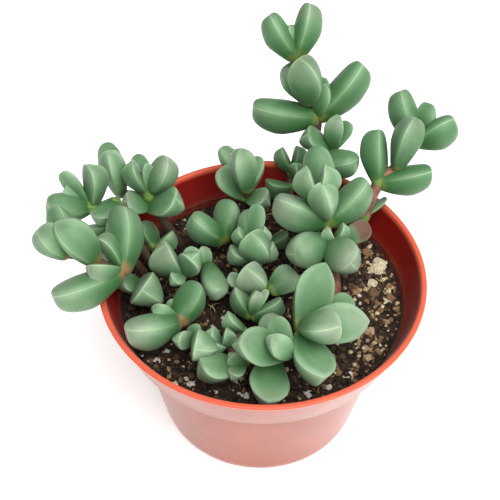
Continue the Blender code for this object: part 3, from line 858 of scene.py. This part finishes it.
def direction(heading, rise):
    """Unit vector from a heading, counted from +X towards +Y, and a rise above level."""
    turn, lift = math.radians(heading), math.radians(rise)
    return Vector((math.cos(turn) * math.cos(lift), math.sin(turn) * math.cos(lift), math.sin(lift)))


def object_from(bm, name, materials):
    """A linked object at the origin with the bmesh as its mesh and the given materials."""
    mesh = bpy.data.meshes.new(name)
    bm.to_mesh(mesh)
    bm.free()
    for material in materials:
        mesh.materials.append(material)
    piece = bpy.data.objects.new(name, mesh)
    bpy.context.scene.collection.objects.link(piece)
    return piece


def shape_mesh(name, make, labels=(), **sizes):
    """A primitive's mesh with empty attributes, kept to be copied many times."""
    bm = bmesh.new()
    for label in labels:
        bm.verts.layers.float.new(label)
    make(bm, radius=1.0, **sizes)
    mesh = bpy.data.meshes.new(name)
    bm.to_mesh(mesh)
    bm.free()
    return mesh


def add_copy(bm, mesh):
    """The new vertices of one copy of the mesh in the bmesh, and the bmesh's attribute layers."""
    known = len(bm.verts)
    bm.from_mesh(mesh)
    bm.verts.ensure_lookup_table()
    return bm.verts[known:], {label: bm.verts.layers.float[label] for label in bm.verts.layers.float.keys()}


def leaf_turns(columns):
    """Turns round a leaf's section, closer together at the margins and the keel, where its edges are."""
    turns = []
    for start, span, share in ((0, 180, 2), (180, 90, 1), (270, 90, 1)):
        steps = columns * share // 4
        for step in range(steps):
            part = step / steps
            crowded = part - EDGE_CROWDING * math.sin(math.tau * part) / math.tau
            turns.append(math.radians(start + span * crowded))
    return turns


def leaf_form(name, rise, length):
    """The form of a leaf: a steep or a short one is pressed flat against its partner."""
    if name in POINTED_SHOOTS and length >= POINTED_LENGTH:
        return POINTED_LEAF
    return PLUMP_LEAF if length >= PLUMP_LENGTH and rise < PRESSED_RISE else PRESSED_LEAF


def leaf_point(along, around, length, width, form):
    """A point of a leaf's skin: along is 0 at the base and 1 at the tip, around is a turn in radians."""
    narrowing, base, widest, face_depth, keel_depth, face_power, base_power, tip_power = form
    spread = math.sqrt(max(1.0 - (2.0 * along - 1.0) ** 2, 0.0))
    growth = base + (1.0 - base) * smoothstep(along / widest)
    margin = 0.5 * width * growth * spread ** (0.5 + narrowing * along ** 3)
    keel = keel_depth * width * growth * spread ** 0.5
    face = face_depth * width * spread ** 0.6
    across, up = math.cos(around), math.sin(around)
    keel_power = base_power + (tip_power - base_power) * along
    power, depth = (face_power, face) if up > 0.0 else (keel_power, keel)
    reach = (abs(across) ** power + abs(up) ** power) ** (-1.0 / power)
    rise = TIP_RISE * length * along * along
    return Vector((length * along, margin * reach * across, depth * reach * up + rise))


def leaf_place(at, aim, heading, rise):
    """The matrix that grows a leaf from its whorl, with its face towards the stem's own way."""
    along = direction(heading, rise)
    stem = direction(*aim)
    face = (stem - stem.dot(along) * along).normalized()
    across = face.cross(along)
    turned = Matrix((along, across, face)).transposed().to_4x4()
    return Matrix.Translation((Vector(at) - along * LEAF_ROOT) * MM) @ turned


def add_leaf(bm, sphere, look, turns, place, length, width, form, bloom, warm, draw):
    """A leaf along +X with its face up, shaped from a sphere whose poles become its base and its tip."""
    verts, layers = add_copy(bm, sphere)
    full = length + LEAF_ROOT
    bow = draw.uniform(-look.bow, look.bow) * length
    twist = math.radians(draw.uniform(-LEAF_TWIST, LEAF_TWIST))
    tone = min(max(bloom + draw.uniform(-TONE_SPREAD, TONE_SPREAD), 0.0), 1.0)
    blush = BLUSH_MOST * max(draw.random() - UNBLUSHED, 0.0) / (1.0 - UNBLUSHED)
    seed = Vector([draw.uniform(0, SEED_REACH) for _ in range(3)])
    edges = {}
    for vert in verts:
        along = (1.0 + vert.co.z) / 2.0
        column = round(math.atan2(-vert.co.x, vert.co.y) / math.tau * len(turns)) % len(turns)
        spot = leaf_point(along, turns[column], full, width, form)
        ring = round(along, 4)
        if ring not in edges:
            edges[ring] = [leaf_point(along, math.radians(turn), full, width, form) for turn in (0, 180, 270)]
        ridge = min((spot - edge).length for edge in edges[ring])
        uneven = 1.0 + look.swell * noise.noise(spot / (0.5 * width) + seed)
        spot.y = spot.y * uneven + bow * along * along
        spot.z *= uneven
        vert.co = place @ (Matrix.Rotation(twist * along, 3, "X") @ spot * MM)
        vert[layers["along"]] = along
        vert[layers["ridge"]] = ridge
        vert[layers["tone"]] = tone
        vert[layers["blush"]] = 1.0 if (length, width) == SCORCHED_LEAF else blush
        vert[layers["collar"]] = warm


def route_point(route, share):
    """A point on a smooth line through the route's points, at a share of the way along it."""
    place = min(max(share, 0.0), 1.0) * (len(route) - 1)
    index = min(int(place), len(route) - 2)
    part = place - index
    before = route[max(index - 1, 0)]
    start, end = route[index], route[index + 1]
    after = route[min(index + 2, len(route) - 1)]
    bend = (2 * before - 5 * start + 4 * end - after) * part ** 2
    turn = (3 * start - before - 3 * end + after) * part ** 3
    return 0.5 * (2 * start + (end - before) * part + bend + turn)


def add_stem(bm, sides, route, radii, knots, knot, age_and_shade, tone):
    """A closed round stem along a route, shaped from a sphere whose poles become its ends."""
    length = sum((end - start).length for start, end in zip(route, route[1:]))
    rings = max(int(length / STEM_RING), 6)
    sphere = shape_mesh(
        "stem_sphere", bmesh.ops.create_uvsphere, LEAF_LABELS, u_segments=sides, v_segments=rings + 2
    )
    verts, layers = add_copy(bm, sphere)
    bpy.data.meshes.remove(sphere)
    up = Vector((0, 0, 1))
    for vert in verts:
        station = round(math.acos(min(max(-vert.co.z, -1.0), 1.0)) / math.pi * (rings + 2))
        share = min(max((station - 1) / rings, 0.0), 1.0)
        middle = route_point(route, share)
        tangent = route_point(route, share + 0.02) - route_point(route, share - 0.02)
        nearest = min((middle - place).length for place in knots)
        closeness = math.exp(-((nearest / KNOT_REACH) ** 2))
        radius = radii[0] + (radii[1] - radii[0]) * share + knot * closeness
        radius *= 1.0 + BARK_SWELL * noise.noise(middle / BARK_SPACING)
        ring = Vector((vert.co.x, vert.co.y, 0.0))
        ring = ring.normalized() * radius if 0 < station < rings + 2 else Vector((0, 0, 0))
        vert.co = (middle + up.rotation_difference(tangent) @ ring) * MM
        vert[layers["age_and_shade"]] = age_and_shade
        vert[layers["collar"]] = closeness
        vert[layers["tone"]] = tone
    mark_stem(verts)


def mark_stem(verts):
    for vert in verts:
        for face in vert.link_faces:
            face.material_index = 1


def add_sheath(bm, sphere, at, aim, size, tone):
    """The short sheath that joins the bases of a pair of leaves."""
    verts, layers = add_copy(bm, sphere)
    turn = Vector((0, 0, 1)).rotation_difference(direction(*aim)).to_matrix()
    for vert in verts:
        uneven = 1.0 + SHEATH_SWELL * noise.noise(vert.co * 1.7 + Vector(at))
        point = Vector((vert.co.x, vert.co.y, SHEATH_FLATNESS * vert.co.z)) * size * uneven
        vert.co = (Vector(at) + turn @ point) * MM
        vert[layers["collar"]] = 1.0
        vert[layers["tone"]] = tone
    mark_stem(verts)


def nearest_on_route(route, place):
    """The point of the route that lies nearest to a place."""
    best = None
    for start, end in zip(route, route[1:]):
        run = end - start
        share = min(max((place - start).dot(run) / run.length_squared, 0.0), 1.0)
        point = start + run * share
        if best is None or (point - place).length < (best - place).length:
            best = point
    return best


def grow_shoot(name, stem, whorls, look, materials, spheres, draw):
    """One leafy stem with every leaf, twig and sheath, in place of its solid."""
    bm = bmesh.new()
    for label in LEAF_LABELS:
        bm.verts.layers.float.new(label)
    leaf_sphere, sheath_sphere = spheres
    turns = leaf_turns(look.leaf.columns)
    age_and_shade, girth, warm, bloom = SHOOT_TONES.get(name, OTHER_TONES)
    route = [Vector(place) for place in stem]
    foot = route[0] - Vector((0, 0, FOOT_DEPTH))
    knots = [nearest_on_route(route, Vector(at)) for at, _, _ in whorls]
    knot = look.stem.knot / MM
    radii = (girth * STEM_RADIUS, girth * STEM_TIP_RADIUS)
    add_stem(bm, look.stem.sides, [foot, *route], radii, knots, knot, age_and_shade, warm)
    for (at, aim, leaves), start in zip(whorls, knots):
        place = Vector(at)
        if (start - place).length > TWIG_REACH:
            twig = [start, start.lerp(place, 0.5), place]
            add_stem(bm, look.stem.sides, twig, (TWIG_RADIUS, TWIG_RADIUS), [place], knot, 0.5 * age_and_shade, warm)
        width = max(leaf[3] for leaf in leaves)
        if len(leaves) > 1 and width >= SHEATHED_LEAF:
            least, share = SHEATH_RADIUS
            add_sheath(bm, sheath_sphere, at, aim, least + share * width, warm)
        for heading, rise, length, width in leaves:
            matrix = leaf_place(at, aim, heading, rise)
            form = leaf_form(name, rise, length)
            add_leaf(bm, leaf_sphere, look.leaf, turns, matrix, length, width, form, bloom, warm, draw)
    shoot = object_from(bm, name.replace("shoot", "leaves"), materials)
    shoot.data.shade_smooth()
    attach(shoot, BODY)
    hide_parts(name)


def spin_profile(bm, profile, steps):
    """A closed turned shape from a profile of (radius, height) that starts and ends on the axis."""
    verts = [bm.verts.new((radius * MM, 0, height * MM)) for radius, height in profile]
    edges = [bm.edges.new(pair) for pair in zip(verts, verts[1:])]
    bmesh.ops.spin(
        bm, geom=verts + edges, cent=(0, 0, 0), axis=(0, 0, 1), angle=math.tau, steps=steps, use_merge=True
    )
    bmesh.ops.remove_doubles(bm, verts=bm.verts, dist=MERGE_REACH)
    bmesh.ops.recalc_face_normals(bm, faces=bm.faces)


def inner_radius(height):
    """The pot's inner radius at a height, in the rim band or in the body below it."""
    if height >= BAND_BOTTOM:
        slope = (RIM_RADIUS - BAND_FOOT_RADIUS) / (POT_HEIGHT - BAND_BOTTOM)
        return RIM_RADIUS - LIP_WIDTH - slope * (POT_HEIGHT - height)
    slope = (BODY_TOP_RADIUS - FOOT_TOP_RADIUS) / (BAND_BOTTOM - FOOT_TOP)
    return BODY_TOP_RADIUS - WALL - slope * (BAND_BOTTOM - height)


def rounded_corner(radius, height, size, first, last, count=6):
    """Points of a small round between two turns, in degrees, about a centre one size inside the corner."""
    turns = [math.radians(first + (last - first) * step / (count - 1)) for step in range(count)]
    return [(radius + size * math.cos(turn), height + size * math.sin(turn)) for turn in turns]


def drain_cutters(sides):
    """The row of round cutters for the drain holes, as one mesh object."""
    bm = bmesh.new()
    for number in range(DRAIN_HOLES):
        turn = math.tau * (number + 0.5) / DRAIN_HOLES
        place = Vector((DRAIN_RING * math.cos(turn), DRAIN_RING * math.sin(turn), FLOOR / 2)) * MM
        bmesh.ops.create_cone(
            bm,
            cap_ends=True,
            segments=sides,
            radius1=DRAIN_RADIUS * MM,
            radius2=DRAIN_RADIUS * MM,
            depth=3 * FLOOR * MM,
            matrix=Matrix.Translation(place),
        )
    return object_from(bm, "drain_cutters", ())


def cut(piece, cutters):
    """The piece with the cutters taken out of its mesh, and the cutters removed."""
    boolean = piece.modifiers.new("drain", "BOOLEAN")
    boolean.operation = "DIFFERENCE"
    boolean.object = cutters
    boolean.solver = "EXACT"
    graph = bpy.context.evaluated_depsgraph_get()
    graph.update()
    mesh = bpy.data.meshes.new_from_object(piece.evaluated_get(graph))
    piece.modifiers.clear()
    piece.data = mesh
    bpy.data.objects.remove(cutters, do_unlink=True)


def mould_pot(look):
    """The pot: a turned wall with a rim band, a rounded lip, a foot and drain holes."""
    ledge = BAND_BOTTOM + WALL
    size = look.lip_round / MM
    middle = RIM_RADIUS - LIP_WIDTH / 2
    half = LIP_WIDTH / 2 - size
    bead = SOIL_LEVEL + BEAD_RISE
    bead_low, bead_high, bead_end = (bead + corner for corner in BEAD_CORNERS)
    profile = [
        (0, FLOOR),
        (inner_radius(FLOOR + 2) - 2, FLOOR),
        (inner_radius(FLOOR + 2), FLOOR + 2),
        (inner_radius(BAND_BOTTOM - 0.1), BAND_BOTTOM - 0.1),
        (inner_radius(ledge), ledge),
        (inner_radius(bead), bead),
        (inner_radius(bead) - BEAD_DEPTH, bead_low),
        (inner_radius(bead) - BEAD_DEPTH, bead_high),
        (inner_radius(bead_end), bead_end),
        (inner_radius(POT_HEIGHT - WALL), POT_HEIGHT - WALL),
        *rounded_corner(middle - half, POT_HEIGHT - size, size, 180, 90),
        *rounded_corner(middle + half, POT_HEIGHT - size, size, 90, 0),
        (RIM_RADIUS - LIP_STEP, POT_HEIGHT - LIP_DEPTH),
        (BAND_FOOT_RADIUS + 0.15, BAND_BOTTOM + CHAMFER),
        (BAND_FOOT_RADIUS - 0.35, BAND_BOTTOM),
        (BODY_TOP_RADIUS + 0.3, BAND_BOTTOM),
        (BODY_TOP_RADIUS, BAND_BOTTOM - CHAMFER),
        (FOOT_TOP_RADIUS, FOOT_TOP),
        (FOOT_TOP_RADIUS - FOOT_CHAMFER, FOOT_TOP / 2.5),
        (BASE_RADIUS + FOOT_CHAMFER, 0.2),
        (BASE_RADIUS, 0),
        (0, 0),
    ]
    bm = bmesh.new()
    spin_profile(bm, profile, look.steps)
    pot = object_from(bm, "moulded_pot", (pot_material(look),))
    cut(pot, drain_cutters(look.drain_sides))
    # Masks for the painted light on the outer wall and the painted shade inside, both below the lip's edge;
    # the inside mask also places the dried soil
    sides = {label: pot.data.attributes.new(label, "FLOAT", "POINT") for label in ("outside", "inside")}
    for index, vert in enumerate(pot.data.vertices):
        height = vert.co.z / MM
        radius = math.hypot(vert.co.x, vert.co.y) / MM
        below_lip = height < POT_HEIGHT - LIP_EDGE
        beyond = radius > inner_radius(height) + 0.6 * WALL or height < 0.5 * FLOOR
        sides["outside"].data[index].value = 1.0 if beyond and below_lip else 0.0
        sides["inside"].data[index].value = 1.0 if not beyond and below_lip else 0.0
    pot.data.shade_smooth()
    pot.data.set_sharp_from_angle(angle=math.radians(ROUND_ANGLE))
    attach(pot, BODY)
    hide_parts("pot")


def soil_height(x, y):
    """The level of the soil's surface above its mean, a few low swells of unlike length."""
    swell = math.sin(0.21 * x + 1.1) * math.cos(0.17 * y - 0.4)
    lump = math.sin(0.53 * x - 0.31 * y) * math.sin(0.47 * y + 0.8)
    return SOIL_RELIEF * (0.6 * swell + 0.4 * lump)


def soil_reach():
    return inner_radius(SOIL_LEVEL) - SOIL_GAP


def lumps(place, spacing, height):
    """How far lumps with gaps between them stand above or below their mean."""
    return height * (0.5 - noise.voronoi(place / spacing)[0][0])


def soil_top(x, y):
    """The height of the soil's surface with its crumbs."""
    edge = smoothstep((soil_reach() - math.hypot(x, y)) / SOIL_RIM)
    place = Vector((x, y, 0.0))
    spacing, height = SOIL_CLODS
    clods = height * noise.noise(place / spacing)
    level = SOIL_LEVEL + soil_height(x, y) * edge
    return level + lumps(place, *SOIL_CRUMBS) + lumps(place, *SOIL_GRAINS) + clods


def fill_soil(look):
    """The soil: a turned filling with a crumbly surface."""
    ledge = BAND_BOTTOM + WALL
    profile = [(soil_reach() * ring / look.rings, SOIL_LEVEL) for ring in range(look.rings + 1)]
    profile += [
        (inner_radius(ledge) - SOIL_GAP, ledge + SOIL_GAP),
        (inner_radius(BAND_BOTTOM - 0.1) - 1.5 * SOIL_GAP, BAND_BOTTOM),
        (inner_radius(FLOOR + 2) - 1.5 * SOIL_GAP, FLOOR + 2),
        (inner_radius(FLOOR + 2) - 2.5, FLOOR + SOIL_GAP),
        (0, FLOOR + SOIL_GAP),
    ]
    bm = bmesh.new()
    spin_profile(bm, profile, look.steps)
    for vert in bm.verts:
        if vert.co.z > (SOIL_LEVEL - 0.01) * MM:
            vert.co.z = soil_top(vert.co.x / MM, vert.co.y / MM) * MM
    soil = object_from(bm, "soil_filling", (soil_material(look),))
    soil.data.shade_smooth()
    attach(soil, BODY)
    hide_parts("soil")


class Heap:
    """Small shapes gathered a few at a time, because one large mesh slows each new shape down."""

    def __init__(self, label):
        self.label = label
        self.whole = bmesh.new()
        self.whole.verts.layers.float.new(label)
        self.begin()

    def begin(self):
        self.part = bmesh.new()
        self.layer = self.part.verts.layers.float.new(self.label)

    def gather(self):
        """The part so far goes into the whole, and a new part begins."""
        mesh = bpy.data.meshes.new("heap_part")
        self.part.to_mesh(mesh)
        self.part.free()
        self.whole.from_mesh(mesh)
        bpy.data.meshes.remove(mesh)
        self.begin()


def add_grain(heap, x, y, radius, shade, draw, fineness, sink):
    """One crumb or grain, rough and a little flattened, sunk into the soil by a share of its radius."""
    made = bmesh.ops.create_icosphere(heap.part, subdivisions=fineness, radius=1.0)
    squash = Vector([draw.uniform(*span) for span in GRAIN_SPANS])
    turn = Matrix.Rotation(draw.uniform(0, math.tau), 3, "Z")
    turn = turn @ Matrix.Rotation(draw.uniform(-GRAIN_TILT, GRAIN_TILT), 3, "X")
    seed = Vector((draw.uniform(0, SEED_REACH), draw.uniform(0, SEED_REACH), 0.0))
    middle = Vector((x, y, soil_top(x, y) + (0.5 - sink) * radius))
    for vert in made["verts"]:
        rough = 1.0 + BUMP_HEIGHT * noise.noise(vert.co * BUMP_COUNT + seed)
        if fineness > 2:
            rough += FINE_HEIGHT * noise.noise(vert.co * FINE_COUNT + seed)
            rough += lumps(vert.co * PIT_COUNT + seed, 1.0, PIT_DEPTH)
        vert.co = (middle + turn @ (vert.co * squash * radius * rough)) * MM
        vert[heap.layer] = shade


def add_fibre(heap, x, y, length, radius, shade, draw):
    """One thin bent fibre that lies on the soil, shaped from a sphere whose poles become its ends."""
    rings, sides = FIBRE_FACES
    made = bmesh.ops.create_uvsphere(heap.part, u_segments=sides, v_segments=rings, radius=1.0)
    turn = draw.uniform(0, math.tau)
    bend = draw.uniform(-FIBRE_BEND, FIBRE_BEND) * length
    lift = draw.uniform(0.0, FIBRE_LIFT)
    base = soil_top(x, y) + FIBRE_RISE
    for vert in made["verts"]:
        along = vert.co.z
        local = Vector((0.5 * length * along, bend * (1 - along * along) + radius * vert.co.y, 0.0))
        height = base + lift * (1 + along) + 0.6 * radius * vert.co.x
        local.rotate(Matrix.Rotation(turn, 3, "Z"))
        vert.co = Vector((x + local.x, y + local.y, height)) * MM
        vert[heap.layer] = shade


def grain_shade(x, draw):
    """A shade from damp peat to white; dry tan crumbs are commoner on the right of the pot."""
    least, more = DRY_SHARES
    dry = least + more * smoothstep((x - DRY_SIDE) / DRY_WIDTH)
    pick = draw.random()
    if pick < WHITE_SHARE:
        return draw.uniform(*WHITE_SHADES)
    if pick < WHITE_SHARE + CREAM_SHARE * dry:
        return draw.uniform(*CREAM_SHADES)
    if pick < WHITE_SHARE + dry:
        return draw.uniform(*TAN_SHADES)
    return draw.uniform(*PEAT_SHADES)


def place_within(reach, draw):
    """A place on the soil, drawn evenly within a distance of its middle."""
    distance = reach * math.sqrt(draw.random())
    turn = draw.uniform(0, math.tau)
    return distance * math.cos(turn), distance * math.sin(turn)


def scatter_grit(look):
    """Crumbs, fibres and pale grit on the soil, as one piece."""
    draw = random.Random(GRIT_SEED)
    heap = Heap("shade")
    for x, y, radius in PEBBLES:
        add_grain(heap, x, y, radius, PEBBLE_SHADES[x > PEBBLE_SIDE], draw, *PEBBLE_KIND)
    for x, y, radius, shade in SMALL_GRIT:
        add_grain(heap, x, y, radius, shade, draw, *SMALL_GRIT_KIND)
    reach = soil_reach() - CRUMB_STRIP
    feet = [Vector(stem[0]).xy for stem, _ in SHOOTS.values()]
    for _ in range(CLODS):
        place = Vector((draw.uniform(CLOD_LEFT, reach - CLOD_STRIP), draw.uniform(*CLOD_DEPTHS)))
        radius = draw.uniform(*CLOD_RADIUS)
        shade = draw.uniform(*CLOD_SHADES)
        if place.length < reach - radius and min((place - foot).length for foot in feet) > CLOD_CLEARANCE:
            add_grain(heap, *place, radius, shade, draw, *CLOD_KIND)
    heap.gather()
    least, more = CRUMB_RADIUS
    for number in range(look.crumbs):
        if number % HEAP_PART == 0:
            heap.gather()
        x, y = place_within(reach, draw)
        radius = least + more * draw.random() ** CRUMB_POWER
        add_grain(heap, x, y, radius, grain_shade(x, draw), draw, *CRUMB_KIND)
    heap.gather()
    for _ in range(look.fibres):
        place = place_within(reach - FIBRE_STRIP, draw)
        size = [draw.uniform(*span) for span in (FIBRE_LENGTHS, FIBRE_RADII, FIBRE_SHADES)]
        add_fibre(heap, *place, *size, draw)
    heap.gather()
    heap.part.free()
    grit = object_from(heap.whole, "grit_and_crumbs", (grit_material(look),))
    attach(grit, BODY)


def set_stage(look):
    """A pale floor, light from all round with a soft lamp, and the camera."""
    bm = bmesh.new()
    bmesh.ops.create_grid(bm, x_segments=2, y_segments=2, size=look.floor_reach)
    object_from(bm, "stage_floor", (floor_material(look),))
    scene = bpy.context.scene
    world = bpy.data.worlds.new("studio")
    world.use_nodes = True
    tree = world.node_tree
    background = tree.nodes["Background"]
    background.inputs["Color"].default_value = (1.0, 1.0, 1.0, 1.0)
    way = put(tree, "ShaderNodeTexCoord").outputs["Generated"]
    facing = put(tree, "ShaderNodeVectorMath", {0: way, 1: BRIGHT_SIDE}, operation="DOT_PRODUCT")
    light = fade(tree, facing.outputs["Value"], *SIDE_SPREAD, look.sky, look.window)
    seen = put(tree, "ShaderNodeLightPath").outputs["Is Camera Ray"]
    tree.links.new(maths(tree, "MAXIMUM", light, seen), background.inputs["Strength"])
    scene.world = world
    lamp = bpy.data.lights.new("soft_lamp", "AREA")
    lamp.shape = "DISK"
    lamp.size = LAMP_SIZE
    lamp.energy = look.lamp
    lamp_object = bpy.data.objects.new("soft_lamp", lamp)
    lamp_object.location = LAMP_PLACE
    aim = Vector((0, 0, POT_HEIGHT * MM)) - Vector(LAMP_PLACE)
    lamp_object.rotation_euler = aim.to_track_quat("-Z", "Y").to_euler()
    scene.collection.objects.link(lamp_object)
    camera = bpy.data.cameras.new("camera")
    camera.sensor_width = SENSOR_WIDTH
    camera.lens = look.lens
    camera.clip_start = CLIP_START
    camera_object = bpy.data.objects.new("camera", camera)
    forward = Vector((0, math.cos(look.tilt), -math.sin(look.tilt)))
    up = Vector((0, math.sin(look.tilt), math.cos(look.tilt)))
    right = Vector((1, 0, 0))
    turned_right = math.cos(look.roll) * right + math.sin(look.roll) * up
    turned_up = math.cos(look.roll) * up - math.sin(look.roll) * right
    pose = Matrix((turned_right, turned_up, -forward)).transposed().to_4x4()
    camera_object.matrix_world = Matrix.Translation(Vector(CAMERA_PLACE) * MM) @ pose
    scene.collection.objects.link(camera_object)
    scene.camera = camera_object
    scene.view_settings.view_transform = "Standard"


class ICEPLANT_OT_stage(bpy.types.Operator):
    """Lay the pale floor and set the light and the camera."""

    bl_idname = "ice_plant.set_stage"
    bl_label = "Set Stage"

    def execute(self, context):
        set_stage(context.scene.ice_plant.stage)
        return {"FINISHED"}


class ICEPLANT_OT_pot(bpy.types.Operator):
    """Mould the plastic pot."""

    bl_idname = "ice_plant.mould_pot"
    bl_label = "Mould Pot"

    def execute(self, context):
        mould_pot(context.scene.ice_plant.pot)
        return {"FINISHED"}


class ICEPLANT_OT_soil(bpy.types.Operator):
    """Fill the pot with crumbly soil."""

    bl_idname = "ice_plant.fill_soil"
    bl_label = "Fill Soil"

    def execute(self, context):
        fill_soil(context.scene.ice_plant.soil)
        return {"FINISHED"}


class ICEPLANT_OT_grit(bpy.types.Operator):
    """Scatter crumbs, fibres and grit over the soil."""

    bl_idname = "ice_plant.scatter_grit"
    bl_label = "Scatter Grit"

    def execute(self, context):
        scatter_grit(context.scene.ice_plant.soil)
        return {"FINISHED"}


class ICEPLANT_OT_shoots(bpy.types.Operator):
    """Grow every leafy shoot."""

    bl_idname = "ice_plant.grow_shoots"
    bl_label = "Grow Shoots"

    def execute(self, context):
        look = context.scene.ice_plant
        materials = (leaf_material(look.leaf), stem_material(look.stem))
        draw = random.Random(SHOOT_SEED)
        sizes = ((look.leaf.columns, look.leaf.rings), SHEATH_FACES)
        spheres = [
            shape_mesh("sphere", bmesh.ops.create_uvsphere, LEAF_LABELS, u_segments=columns, v_segments=rings)
            for columns, rings in sizes
        ]
        for name, (stem, whorls) in SHOOTS.items():
            grow_shoot(name, stem, whorls, look, materials, spheres, draw)
        for sphere in spheres:
            bpy.data.meshes.remove(sphere)
        return {"FINISHED"}


class ICEPLANT_PT_sidebar(bpy.types.Panel):
    """Lists the steps that build the plant."""

    bl_idname = "ICEPLANT_PT_sidebar"
    bl_label = "Ice Plant"
    bl_space_type = "VIEW_3D"
    bl_region_type = "UI"
    bl_category = "Ice Plant"

    def draw(self, context):
        for operator in OPERATORS:
            self.layout.operator(operator.bl_idname)


OPERATORS = (ICEPLANT_OT_stage, ICEPLANT_OT_pot, ICEPLANT_OT_soil, ICEPLANT_OT_grit, ICEPLANT_OT_shoots)
SETTINGS = (LeafLook, StemLook, SoilLook, PotLook, StageLook, IcePlantSettings)


def register():
    for item in (*SETTINGS, *OPERATORS, ICEPLANT_PT_sidebar):
        bpy.utils.register_class(item)
    bpy.types.Scene.ice_plant = PointerProperty(type=IcePlantSettings)


def unregister():
    del bpy.types.Scene.ice_plant
    for item in reversed((*SETTINGS, *OPERATORS, ICEPLANT_PT_sidebar)):
        bpy.utils.unregister_class(item)


def main():
    register()
    bpy.ops.ice_plant.set_stage()
    bpy.ops.ice_plant.mould_pot()
    bpy.ops.ice_plant.fill_soil()
    bpy.ops.ice_plant.scatter_grit()
    bpy.ops.ice_plant.grow_shoots()


if __name__ == "__main__":
    main()
